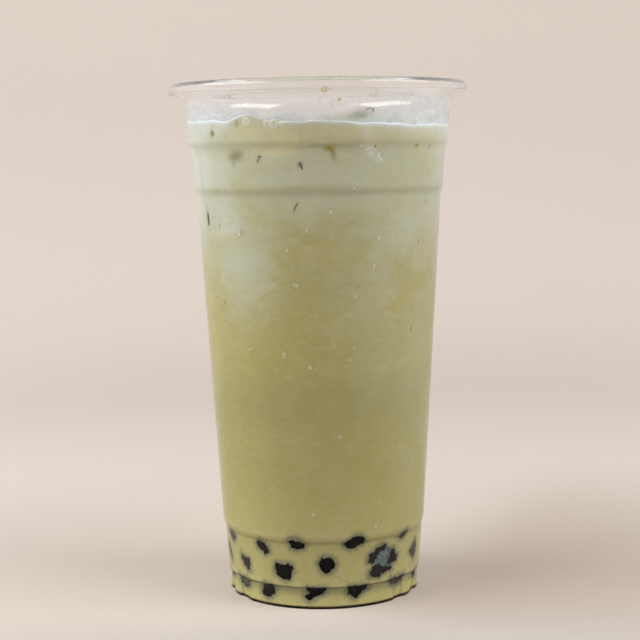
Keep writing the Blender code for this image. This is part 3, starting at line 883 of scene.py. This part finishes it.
# Drops on the outside
DROPS = (
    (18.1, 124.4, 0.8, 0.2, -45), (18.9, 123.5, 0.7, 0.2, -45), (22.4, 134.6, 0.9, 0.25, -38),
    (24.8, 133.4, 0.9, 0.25, 25), (27, 133.9, 0.7, 0.22, -20), (29.6, 133, 0.4, 0.9, 25),
    (31.4, 131.2, 0.5, 0.7, 10), (20.2, 124.6, 0.4, 0.25, -30), (24.5, 121.6, 0.6, 0.45, -25),
    (35.4, 120.5, 0.4, 0.4), (37.6, 116.5, 0.6, 0.4), (8.7, 116.9, 0.75, 0.95, 10),
    (32.8, 111, 0.45, 0.75, -15), (31.1, 109.2, 0.8, 1, -10), (56.9, 107, 0.6, 0.75),
    (29, 101.6, 0.75, 0.35), (28.8, 100.6, 0.4, 0.6), (19.9, 92.8, 0.75, 0.75), (-35.6, 111.2, 1, 1.35),
    (-50.1, 112.5, 0.6, 1, -10), (-2.3, 111.9, 0.45, 0.65), (-11.2, 106.1, 0.4, 0.45),
    (-7.9, 96.2, 1.05, 0.8), (-50.9, 90.2, 0.6, 1, -25), (-14.7, 76, 0.65, 0.9, -20),
    (-2.1, 72.6, 0.6, 0.65), (54, 82.1, 0.7, 0.9), (19.5, 77.6, 0.45, 0.6), (17.2, 74.5, 0.4, 0.7, -20),
    (13.4, 89.7, 0.3, 0.3), (14.6, 88.9, 0.25, 0.3), (-1.8, 29.1, 0.85, 0.85), (32.4, 24.6, 0.8, 1),
    (10.1, 8.9, 1, 0.9), (11.9, 52, 0.85, 0.5, 10), (13, 52.6, 0.3, 0.25), (45, 100.5, 0.35, 0.4),
    (-32.2, 77.6, 1.3, 0.28, 30), (-15.5, 21.3, 0.3, 0.3), (-12.2, 21, 0.3, 0.35),
)
DROP_RISE = 0.3
DROP_FOOT = 0.04
# The drops behind: their number, the angles between which they lie, and their lowest,
# highest and commonest heights
DROPS_BEHIND = 90
BEHIND = (100, 267)
HEIGHTS_BEHIND = (24, 132, 112)
DROP_SEED = 11
# Left on the wall above the drink: flecks of dried foam, pale spots of milk, drops
FLECKS = (
    (-34.6, 149.8, 0.45, 0.9, -25), (6.1, 151.1, 0.95, 0.75, 35), (8.4, 151.1, 0.3, 0.3),
    (12.3, 148.3, 0.6, 0.5), (49.1, 148.7, 0.16, 0.16), (53, 142.6, 0.16, 0.16),
    (20.8, 147, 0.16, 0.55, -30), (-44, 146.6, 0.2, 0.15),
)
MILK_SPOTS = (
    (9.8, 147.2, 1.25, 1.25), (26.9, 150.2, 1.9, 1.2, 25), (41.9, 150.1, 1.7, 1.1),
    (4.5, 148.2, 0.5, 0.5), (-30.3, 149.1, 0.8, 0.7), (-28.7, 148, 0.14, 1.5, -38),
)
CLINGING_DROPS = (
    (25.8, 145, 0.45, 0.4), (24.9, 145.7, 0.3, 0.4, 40), (26.6, 145.7, 0.25, 0.3),
    (-37.6, 144.2, 0.35, 0.25, 20), (-36.4, 144.9, 0.3, 0.25), (-35, 144.9, 0.35, 0.2, 10),
    (-34.2, 144.2, 0.25, 0.3), (-35.6, 143.8, 0.3, 0.2), (46.3, 145, 0.3, 0.4, 20),
    (47.2, 144.2, 0.2, 0.4, 30), (62, 144.1, 0.25, 0.5), (-2.5, 143.8, 0.3, 0.25),
)
# A line of tiny flecks: its two ends' angles, its height and their number
SPECK_LINE = (-25.1, -9.6, 146.7, 18)
SMALL_DROPS = 90
SMALL_DROP_HEIGHTS = (144, 148.5)
RESIDUE_SEED = 23
# Bubbles on the drink: how far out they reach, from where they count as at the wall, how
# near the ice they gather, and the share of those in the open that is left out
TOP_BUBBLES = 110
TOP_BUBBLE_SEED = 31
BUBBLES_REACH = 36.0
AT_WALL = 33
AT_ICE = 3.0
OPEN_LEFT_OUT = 0.8
VEIL_TOP = 150.2
VEIL_THIN = 0.03
VEIL_AROUND = 360
VEIL_ROWS = 26


def wall_marks():
    """Flat marks against the wall, under the film, and the bubbles in its edge."""
    gather("dark_slits", [blister(*row) for row in SLITS], dark_leaf())
    piece = gather("brown_spots", [blister(*row, depth=0.04) for row in BROWN_SPOTS], brown_foam())
    piece = gather("foam_strings", [blister(*row) for row in FOAM_STRINGS], pale_foam())
    gather("dark_bubbles", [blister(*row) for row in DARK_BUBBLES], dark_bubble())
    bubbles = [blister(angle, height, radius, radius, depth=0.06, around=28, rings=8)
               for angle, height, radius in LINE_BUBBLES]
    piece = gather("line_bubbles", bubbles, bubble_ring())


def surface_bubbles():
    """Bubbles on the drink's top, most of them at the ice and at the wall."""
    chance = random.Random(TOP_BUBBLE_SEED)
    bubbles = []
    while len(bubbles) < TOP_BUBBLES:
        angle = chance.uniform(-pi, pi)
        radius = BUBBLES_REACH * sqrt(chance.random())
        x, y = radius * sin(angle), -radius * cos(angle)
        away = float(to_cube_edge(np.array(x), np.array(y)))
        size = 0.25 + 0.9 * chance.random() ** 2.5
        if away < size + 0.2 or (away > AT_ICE and radius < AT_WALL and chance.random() < OPEN_LEFT_OUT):
            continue
        bubbles.append(floating_dome(x, y, size))
    piece = gather("surface_bubbles", bubbles, bubble_ring())


def veil_of(angles, heights):
    """Thickness of the milk film above the drink, and how dark it is in places."""
    turned = np.degrees(wrapped(angles))
    above = heights - film_top(angles) + 0.8 * np.sin(angles * 9) + 0.5 * np.sin(angles * 23 + 2)
    left = bell(turned + 66, 30) * (1 - smooth(4.2, 7.2, above))
    right = bell(turned - 62, 34) * (1 - smooth(7, 10, above))
    back = bell(np.abs(turned) - 150, 45) * (1 - smooth(3, 8, above))
    middle = bell(turned, 50) * (1 - smooth(2, 6, above))
    at_line = np.exp(-np.maximum(above, 0) / 1.1)
    murk = sum(spot(angles, heights, *row) for row in MURK)
    veil = 0.28 * left + 0.32 * right + 0.1 * back + 0.06 * middle + 0.4 * at_line
    thickness = (veil + 0.22 * murk) * (1 - smooth(VEIL_TOP - 1.2, VEIL_TOP, heights))
    return {"veil": thickness, "murk": np.minimum(murk, 1)}


def veil():
    """Band of milk film on the inner wall, from the drink's edge up."""
    angles = np.array(ways(VEIL_AROUND))
    edge = film_top(angles) - 0.25
    levels = [edge + (VEIL_TOP - edge) * share for share in np.linspace(0, 1, VEIL_ROWS)]
    rings = [(inner_radius(angles, row) + VEIL_THIN, row) for row in levels]
    rings += [(inner_radius(angles, row) - VEIL_THIN, row) for row in reversed(levels)]
    around, _, heights, points = places(rings, angles)
    starts = [ring * VEIL_AROUND for ring in range(len(rings))]
    faces = [face for pair in zip(starts, starts[1:] + starts[:1]) for face in strip(*pair, VEIL_AROUND)]
    new_piece("milk_veil", points, faces, milk_veil(), veil_of(around, heights))


def residue():
    """What stays on the wall above the drink: flecks, spots of milk and small drops."""
    chance = random.Random(RESIDUE_SEED)
    flecks = list(FLECKS)
    start, end, height, count = SPECK_LINE
    for _ in range(count):
        size = chance.uniform(0.06, 0.13)
        flecks.append((chance.uniform(start, end), height + chance.uniform(-0.25, 0.25), size, size))
    bodies = [blister(*row, depth=-0.16, reach=0.03, form=DOME, rings=4, back=0.06) for row in flecks]
    gather("dried_flecks", bodies, dried_matcha())
    bodies = [blister(*row, depth=-0.08, reach=0.02, rings=7, back=0.04) for row in MILK_SPOTS]
    gather("milk_spots", bodies, milk_spot())
    small = list(CLINGING_DROPS)
    for _ in range(SMALL_DROPS):
        size = chance.uniform(0.08, 0.2)
        angle = chance.uniform(-180, 180)
        height = chance.uniform(*SMALL_DROP_HEIGHTS)
        small.append((angle, height, size, size * chance.uniform(0.9, 1.4)))
    bodies = [blister(*row, depth=-0.04 - 0.5 * row[2], reach=0.02, form=DOME, rings=4, back=0.05)
              for row in small]
    gather("clinging_drops", bodies, water())


def drops():
    """Drops of condensation on the outside of the wall."""
    chance = random.Random(DROP_SEED)
    sizes = [min(row[2:4]) for row in DROPS]
    rows = list(DROPS)
    for _ in range(DROPS_BEHIND):
        angle = chance.uniform(*BEHIND)
        height = chance.triangular(*HEIGHTS_BEHIND)
        size = chance.uniform(0.25, 0.85)
        sizes.append(size)
        rows.append((angle, height, size, size * chance.uniform(0.9, 1.5), chance.uniform(-20, 20)))
    bodies = [blister(*row, depth=DROP_FOOT + DROP_RISE * size, reach=-DROP_FOOT, form=LOW_DOME,
                      radius_of=outside_at, back=-0.05, rings=12) for row, size in zip(rows, sizes)]
    gather("condensation_drops", bodies, water())


class Value:
    """Output of a node; arithmetic on it adds Math nodes."""

    def __init__(self, finish, socket):
        self.finish = finish
        self.socket = socket

    def math(self, operation, first, second):
        """Math node for two values."""
        return self.finish.node("Math", {"operation": operation}, {0: first, 1: second})

    def __add__(self, other):
        return self.math("ADD", self, other)

    def __sub__(self, other):
        return self.math("SUBTRACT", self, other)

    def __rsub__(self, other):
        return self.math("SUBTRACT", other, self)

    def __mul__(self, other):
        return self.math("MULTIPLY", self, other)

    __radd__ = __add__
    __rmul__ = __mul__

    def step(self, low, high):
        """Rise from 0 to 1 between two values."""
        inputs = {"Value": self, "From Min": low, "From Max": high}
        return self.finish.node("MapRange", {"interpolation_type": "SMOOTHSTEP"}, inputs)


class Finish:
    """A material under construction."""

    def __init__(self, name):
        self.material = bpy.data.materials.new(name)
        self.material.use_nodes = True
        self.tree = self.material.node_tree
        self.tree.nodes.clear()

    def node(self, kind, settings=None, inputs=None, output=0):
        """Add a node, set it, fill or link its sockets, and give back one output."""
        made = self.tree.nodes.new("ShaderNode" + kind)
        for name, value in (settings or {}).items():
            setattr(made, name, value)
        for key, value in (inputs or {}).items():
            socket = made.inputs[key]
            if isinstance(value, Value):
                self.tree.links.new(value.socket, socket)
            else:
                socket.default_value = (*value, 1.0) if socket.type == "RGBA" else value
        return Value(self, made.outputs[output])

    def where(self):
        """Place on the object, in metres."""
        return self.node("TexCoord", output="Object")

    def height(self):
        """Height on the object, in metres."""
        return self.node("SeparateXYZ", {}, {"Vector": self.where()}, "Z")

    def vector(self, operation, factors, output=0):
        """Place on the object, worked on by Vector Math with three numbers."""
        inputs = {0: self.where(), 1: factors}
        return self.node("VectorMath", {"operation": operation}, inputs, output)

    def uneven(self, scale, detail, distortion=0, where=None, roughness=0.5):
        """Noise between 0 and 1; scale is in features a metre."""
        inputs = {"Vector": where or self.where(), "Scale": scale, "Detail": detail,
                  "Roughness": roughness, "Distortion": distortion}
        return self.node("TexNoise", {}, inputs, "Fac")

    def layer(self, name):
        """Value that the mesh holds under a name."""
        return self.node("Attribute", {"attribute_name": name}, output="Fac")

    def rim(self, low, high, weaker, start):
        """1 near the edge of a small body, and weaker again at the edge itself."""
        edge = self.layer("edge")
        return edge.step(low, high) - weaker * edge.step(start, 1)

    def blend(self, share, first, second):
        """Mix two colours, each an output or three numbers."""
        settings = {"data_type": "RGBA", "clamp_factor": True}
        return self.node("Mix", settings, {0: share, 6: first, 7: second}, 2)

    def bump(self, height, strength, distance):
        """Normal from a height."""
        return self.node("Bump", {}, {"Height": height, "Strength": strength, "Distance": distance})

    def surface(self, colour, roughness, sockets=None):
        """Principled shader, with more of its sockets by their names."""
        inputs = {"Base Color": colour, "Roughness": roughness, **(sockets or {})}
        return self.node("BsdfPrincipled", {}, inputs)

    def mixed(self, share, first, second):
        """Two shaders mixed."""
        return self.node("MixShader", {}, {0: share, 1: first, 2: second})

    def done(self, shader):
        """Connect the surface and give back the material."""
        end = self.tree.nodes.new("ShaderNodeOutputMaterial")
        self.tree.links.new(shader.socket, end.inputs["Surface"])
        return self.material

    def done_clear(self, shader, tint):
        """The same for clear material, whose shadow is only a tint."""
        clear = self.node("BsdfTransparent", {}, {"Color": tint})
        shadow = self.node("LightPath", output="Is Shadow Ray")
        return self.done(self.mixed(shadow, shader, clear))


# Heights in metres between which the plastic changes: wetted by the drink below, cloudy
# and glossy towards the rim, and less glossy again at the flare
WETTED = (0.1415, 0.144)
CLOUDY = (0.141, 0.151)
GLOSSY = (0.1465, 0.1485)
FLARED = (0.1508, 0.1515)


def clear_plastic():
    """Clear moulded plastic, faintly hazy and not quite even, hazier towards the rim."""
    finish = Finish("clear_plastic")
    height = finish.height()
    haze = finish.uneven(70, 4)
    roughness = 0.03 + 0.04 * haze + 0.05 * finish.uneven(420, 2).step(0.62, 0.8)
    clear = {"Transmission Weight": 1.0, "Normal": finish.bump(finish.uneven(45, 1), 0.06, 0.001)}
    wetted = finish.surface((0.97, 0.975, 0.975), roughness, {"IOR": 1.17, **clear})
    bare = finish.surface((0.985, 0.988, 0.988), roughness, {
        "IOR": 1.36,
        "Specular IOR Level": 0.1,
        "Coat Weight": height.step(*GLOSSY) - 0.7 * height.step(*FLARED),
        "Coat Roughness": 0.06,
        "Coat IOR": 1.6,
        **clear,
    })
    plastic = finish.mixed(height.step(*WETTED), wetted, bare)
    cloudy = height.step(*CLOUDY) * (0.04 + 0.12 * haze)
    body = finish.mixed(cloudy, plastic, finish.surface((0.80, 0.79, 0.79), 0.4))
    return finish.done_clear(body, (0.96, 0.965, 0.97))


DEEP_MATCHA = (0.352, 0.319, 0.119)
DEEP_MATCHA_LIGHT = (0.370, 0.338, 0.138)
LOW_MATCHA = (0.425, 0.386, 0.156)
FOOT_MATCHA = (0.468, 0.426, 0.171)
PALE_MATCHA = (0.428, 0.442, 0.320)
MILK_BLUE = (0.546, 0.582, 0.566)
OCHRE_MATCHA = (0.391, 0.337, 0.128)
# Cream, also the colour of the painted highlight lines
CREAM_AND_HIGHLIGHT_MATCHA = (0.545, 0.508, 0.296)
# Ochre of the smudges and of the painted shade at the steps
SMUDGE_AND_STEP_SHADE_OCHRE = (0.22, 0.175, 0.06)
FROTH_WHITE = (0.640, 0.700, 0.765)
# Dark marks, also the painted shade under the lip and the step
DARK_MARKS_AND_PAINTED_SHADE = (0.11, 0.115, 0.065)
HOLLOW_MILK = (0.25, 0.305, 0.285)
HOLLOW_MILK_DARK = (0.10, 0.125, 0.12)
HALO_SHADE = (0.035, 0.065, 0.085)
DARK_SPECK = (0.16, 0.15, 0.05)
# Painted shadow along the foot's bottom edge
FOOT_EDGE_SHADOW = (0.07, 0.045, 0.012)


def milky_matcha():
    """Opaque milky green tea: cloudy and pale above, deeper and yellower below."""
    finish = Finish("milky_matcha")
    layer = finish.layer
    height = finish.height()
    large = finish.uneven(38, 3, 1.1)
    small = finish.uneven(150, 4, 0.6)
    streaks = finish.uneven(60, 5.0, 1.9, finish.vector("MULTIPLY", (1, 1, 1.5)))
    mottle = finish.uneven(380, 6.0, 0.8, finish.vector("MULTIPLY", (1, 1, 1.7)), 0.65)
    stirred = height.step(0.05, 0.105)
    swirl = (large - 0.5) * 0.8 + (small - 0.5) * 0.35 + (streaks - 0.5) * 0.9
    cloud = layer("cloud") * 0.9 + swirl * (0.4 + 0.6 * stirred)
    ragged = 0.55 * (streaks * 0.6 + large * 0.4).step(0.3, 0.65) - 0.3
    hollow = finish.blend(finish.uneven(700, 3, 1).step(0.35, 0.65), HOLLOW_MILK, HOLLOW_MILK_DARK)
    body = finish.blend(small.step(0.35, 0.7), DEEP_MATCHA, DEEP_MATCHA_LIGHT)
    coats = (
        (layer("low"), LOW_MATCHA),
        (1 - height.step(0.003, 0.016), FOOT_MATCHA),
        (cloud.step(-0.1, 1.15), PALE_MATCHA),
        (layer("milk") * (0.75 + ragged * (0.25 + 0.75 * stirred)), MILK_BLUE),
        (layer("stain") * finish.uneven(90, 4, 0.8).step(0.3, 0.62), OCHRE_MATCHA),
        # Cream, with painted highlight lines
        (layer("cream") * (0.7 + 0.6 * small), CREAM_AND_HIGHLIGHT_MATCHA),
        (layer("froth") * (0.65 + 0.5 * small), FROTH_WHITE),
        (mottle.step(0.5, 0.8) * 0.2, DARK_SPECK),
        (mottle.step(0.5, 0.2) * 0.2, MILK_BLUE),
        # Ochre smudges and painted shade at the steps
        (layer("line") * (0.55 + 0.9 * small), SMUDGE_AND_STEP_SHADE_OCHRE),
        # Dark marks and painted shade under the lip and the step
        (layer("shade") * (0.7 + 0.6 * finish.uneven(900, 3, 0.5)), DARK_MARKS_AND_PAINTED_SHADE),
        (layer("hollow").step(0.2, 0.6), hollow),
        (layer("halo") * (0.5 + 0.35 * finish.uneven(500, 2)), HALO_SHADE),
        # Painted shadow along the foot's bottom edge
        (1 - height.step(0.0006, 0.0011), FOOT_EDGE_SHADOW),
        (finish.uneven(2600, 2).step(0.66, 0.74) * 0.22, DARK_SPECK),
    )
    for share, colour in coats:
        body = finish.blend(share, body, colour)
    return finish.done(finish.surface(body, 0.35, {"Specular IOR Level": 0.2}))


def pearl_skin():
    """Dark, wet, slightly lumpy tapioca, which lies in the drink."""
    finish = Finish("tapioca")
    lumps = finish.uneven(900, 4)
    skin = finish.blend(lumps.step(0.62, 0.8), (0.003, 0.0027, 0.003), (0.05, 0.05, 0.04))
    # Paler where the pale layer says so: painted reflection on pearls at the sides
    skin = finish.blend(finish.layer("pale"), skin, (0.11, 0.088, 0.08))
    return finish.done(finish.surface(skin, 0.3 + 0.15 * lumps, {
        "Specular IOR Level": 0.03,
        "Normal": finish.bump(lumps, 0.25, 0.0004),
    }))


def clouded_ice():
    """Melting ice, clear at its skin and milky within."""
    finish = Finish("melting_ice")
    cloud = finish.uneven(140, 4, 0.8).step(0.42, 0.72)
    clear = finish.surface((0.95, 0.96, 0.94), 0.08, {
        "IOR": 1.31,
        "Transmission Weight": 1.0,
        "Normal": finish.bump(finish.uneven(260, 2), 0.12, 0.001),
    })
    milky = finish.surface((0.66, 0.66, 0.58), 0.25)
    return finish.done_clear(finish.mixed(0.1 + cloud * 0.45, clear, milky), (0.9, 0.92, 0.88))


def water():
    """Water drops, clear and faintly pale, with a painted highlight round the rim."""
    finish = Finish("condensation")
    drop = finish.surface((0.97, 0.98, 0.98), 0.04 + 0.04 * finish.uneven(300, 1), {
        "IOR": 1.17,
        "Coat Weight": 1.0,
        "Coat Roughness": 0.05,
        "Coat IOR": 1.6,
        "Transmission Weight": 1.0,
    })
    pale = finish.surface((0.72, 0.67, 0.44), 0.3)
    # Faint pale tint all over, and a painted highlight near the rim
    share = 0.05 + 0.1 * finish.rim(0.55, 0.8, 0.5, 0.85)
    return finish.done_clear(finish.mixed(share, drop, pale), (0.99, 0.99, 0.99))


def milk_veil():
    """Thin bluish film of milk that stays on the wall above the drink."""
    finish = Finish("milk_veil")
    colour = finish.blend(finish.layer("murk"), (0.61, 0.665, 0.69), (0.22, 0.23, 0.15))
    cover = 0.15 + 0.8 * finish.uneven(700, 4, 0.4) + 0.9 * finish.uneven(160, 3, 1)
    return finish.done(finish.surface(colour, 0.5, {
        "Specular IOR Level": 0.1,
        "Alpha": finish.layer("veil") * cover,
    }))


def milk_spot():
    """Pale see-through spot of dried milk with a brighter rim."""
    finish = Finish("milk_spot")
    cover = 0.18 + 0.22 * finish.rim(0.6, 0.85, 0.7, 0.9)
    return finish.done(finish.surface((0.95, 0.94, 0.88), 0.4, {"Alpha": cover}))


def dried_matcha():
    """Flecks of dried foam, orange brown with a dark edge."""
    finish = Finish("dried_matcha")
    share = (finish.layer("edge") + 0.5 * (finish.uneven(900, 2) - 0.5)).step(0.6, 1)
    colour = finish.blend(share, (0.92, 0.80, 0.50), (0.60, 0.38, 0.11))
    return finish.done(finish.surface(colour, 0.5, {"Alpha": 0.55 + 0.3 * share}))


def dark_leaf():
    """Nearly black green of the slits."""
    finish = Finish("dark_slit")
    share = finish.uneven(900, 2).step(0.3, 0.7)
    return finish.done(finish.surface(finish.blend(share, (0.02, 0.025, 0.02), (0.055, 0.06, 0.04)), 0.5))


def dark_bubble():
    """Grey green of the small bubbles at the ice, paler in their middles."""
    finish = Finish("dark_bubble")
    share = finish.layer("edge").step(0.3, 0.9)
    colour = finish.blend(share, (0.16, 0.18, 0.13), (0.09, 0.11, 0.08))
    return finish.done(finish.surface(colour, 0.3, {"Alpha": 0.6 + 0.2 * share}))


def brown_foam():
    """Ochre brown of the spots where foam has gathered powder."""
    finish = Finish("brown_foam")
    share = (finish.layer("edge") + 0.4 * (finish.uneven(700, 2) - 0.5)).step(0.45, 1)
    colour = finish.blend(share, (0.29, 0.235, 0.055), (0.38, 0.335, 0.12))
    return finish.done(finish.surface(colour, 0.5, {"Specular IOR Level": 0.1}))


def pale_foam():
    """Pale foam in strings, not quite even."""
    finish = Finish("pale_foam")
    colour = finish.blend(finish.uneven(900, 2), (0.56, 0.56, 0.43), (0.80, 0.80, 0.68))
    return finish.done(finish.surface(colour, 0.4, {"Specular IOR Level": 0.2}))


def bubble_ring():
    """Bubble: pale rim, matcha seen through its middle."""
    finish = Finish("bubble_ring")
    rim = finish.rim(0.45, 0.75, 0.5, 0.88) * (0.75 + 0.5 * finish.uneven(800, 2))
    colour = finish.blend(rim, (0.50, 0.495, 0.38), (0.59, 0.61, 0.52))
    return finish.done(finish.surface(colour, 0.3, {"Specular IOR Level": 0.2}))


# Stage, light and camera
BACKDROP_FLAT = 620.0
BACKDROP_CURVE = 260.0
BACKDROP_TOP = 1100.0
BACKDROP_GLOW = 0.06
BACKDROP_AROUND = 96
BACKDROP_STEPS = 16
FLOOR_RINGS = (200.0, 400.0, 600.0)
LAMP_TARGET = Vector((0, 0, 75))
SKY_COLOUR = (1.0, 0.99, 0.975, 1.0)
SKY_STRENGTH = 0.3
CAMERA_DISTANCE = 464.8
CAMERA_HEIGHT = 133.1
CAMERA_AZIMUTH = radians(3.5)
CAMERA_PITCH = radians(-6.21)
CAMERA_ROLL = radians(-0.83)
CAMERA_TURN = radians(0.03)
CAMERA_LENS = 85.67
SENSOR_WIDTH = 36.0


def paper_with_painted_shadow():
    """Warm paper with painted shadow: darker round the cup, most to its right and in front of it, its wall
    darker to the right, and a faint painted glow where it rises.
    """
    finish = Finish("backdrop")
    away = finish.vector("LENGTH", (0, 0, 0), "Value")
    sideways = finish.vector("DOT_PRODUCT", (1, -0.3, 0), "Value")
    ahead = finish.vector("DOT_PRODUCT", (0.1, -1, 0), "Value")
    # Painted shadow on the floor round the cup, deeper to its right and in front of it
    near = 1 - away.step(0.06, 0.24)
    floor = finish.blend(near, (0.745, 0.69, 0.65), (0.70, 0.64, 0.59))
    floor = finish.blend(near * sideways.step(0.01, 0.055), floor, (0.60, 0.53, 0.47))
    floor = finish.blend(near * ahead.step(0.025, 0.06), floor, (0.585, 0.55, 0.525))
    rising = away.step(0.33, 0.66)
    # Painted shade: the rising wall is darker to the right
    wall = finish.blend(sideways.step(-0.5, 0.5), (0.875, 0.825, 0.78), (0.825, 0.765, 0.72))
    # Painted glow where the paper rises
    glow = rising - finish.height().step(0.02, 0.2)
    paper = finish.surface(finish.blend(rising, floor, wall), 0.6 + 0.1 * finish.uneven(30, 2), {
        "Emission Color": finish.blend(glow, (0, 0, 0), (1.0, 0.87, 0.78)),
        "Emission Strength": BACKDROP_GLOW,
        "Specular IOR Level": 0.2,
    })
    return finish.done(paper)


def backdrop():
    """Pale floor that curves up all round into a wall."""
    profile = [(radius, 0.0) for radius in FLOOR_RINGS]
    for step in range(BACKDROP_STEPS + 1):
        turn = radians(-90 + 90 * step / BACKDROP_STEPS)
        profile.append((BACKDROP_FLAT + BACKDROP_CURVE * cos(turn),
                        BACKDROP_CURVE + BACKDROP_CURVE * sin(turn)))
    profile.append((BACKDROP_FLAT + BACKDROP_CURVE, BACKDROP_TOP))
    points = [place(radius, way, height) for radius, height in profile for way in ways(BACKDROP_AROUND)]
    faces = [tuple(range(BACKDROP_AROUND))]
    for ring in range(len(profile) - 1):
        faces += strip(ring * BACKDROP_AROUND, (ring + 1) * BACKDROP_AROUND, BACKDROP_AROUND)
    piece = add("backdrop", new_mesh("backdrop", points, faces, paper_with_painted_shadow()))


def stand(name, data, spot, turn):
    """Lamp or camera at a place in millimetres, turned."""
    piece = add(name, data)
    piece.location = spot * MM
    piece.rotation_mode = "QUATERNION"
    piece.rotation_quaternion = turn
    return piece


def softbox(name, azimuth, elevation, distance, width, height, power):
    """Soft lamp that looks at the middle of the cup."""
    lamp = bpy.data.lights.new(name, "AREA")
    lamp.shape = "RECTANGLE"
    lamp.size = width * MM
    lamp.size_y = height * MM
    lamp.energy = power
    away = place(cos(radians(elevation)), radians(azimuth), sin(radians(elevation)))
    piece = stand(name, lamp, away * distance + LAMP_TARGET, away.to_track_quat("Z", "Y"))
    piece.visible_camera = False


def light():
    """Two large side lamps and an even sky."""
    softbox("left_softbox", -73, 44, 700, 620, 400, 3.55)
    softbox("right_softbox", 74, 44, 700, 520, 400, 2.6)
    sky = bpy.data.worlds.new("sky")
    sky.use_nodes = True
    shade = sky.node_tree.nodes["Background"]
    shade.inputs["Color"].default_value = SKY_COLOUR
    shade.inputs["Strength"].default_value = SKY_STRENGTH
    bpy.context.scene.world = sky


def camera():
    """The photo's view: below the rim, looking slightly down, turned a little."""
    eye = bpy.data.cameras.new("camera")
    eye.lens = CAMERA_LENS
    eye.sensor_width = SENSOR_WIDTH
    eye.clip_start = 0.01
    eye.clip_end = 20.0
    ahead = -place(cos(CAMERA_PITCH), CAMERA_AZIMUTH + CAMERA_TURN, -sin(CAMERA_PITCH))
    turn = ahead.to_track_quat("-Z", "Y") @ Quaternion((0, 0, 1), CAMERA_ROLL)
    spot = place(CAMERA_DISTANCE, CAMERA_AZIMUTH, CAMERA_HEIGHT)
    bpy.context.scene.camera = stand("camera", eye, spot, turn)


camera()
backdrop()
light()
lying = wall_pearls()
cup()
latte(lying)
pearls(lying)
ice()
wall_marks()
surface_bubbles()
veil()
residue()
drops()

scene = bpy.context.scene
scene.cycles.use_denoising = True
scene.view_settings.view_transform = "Standard"
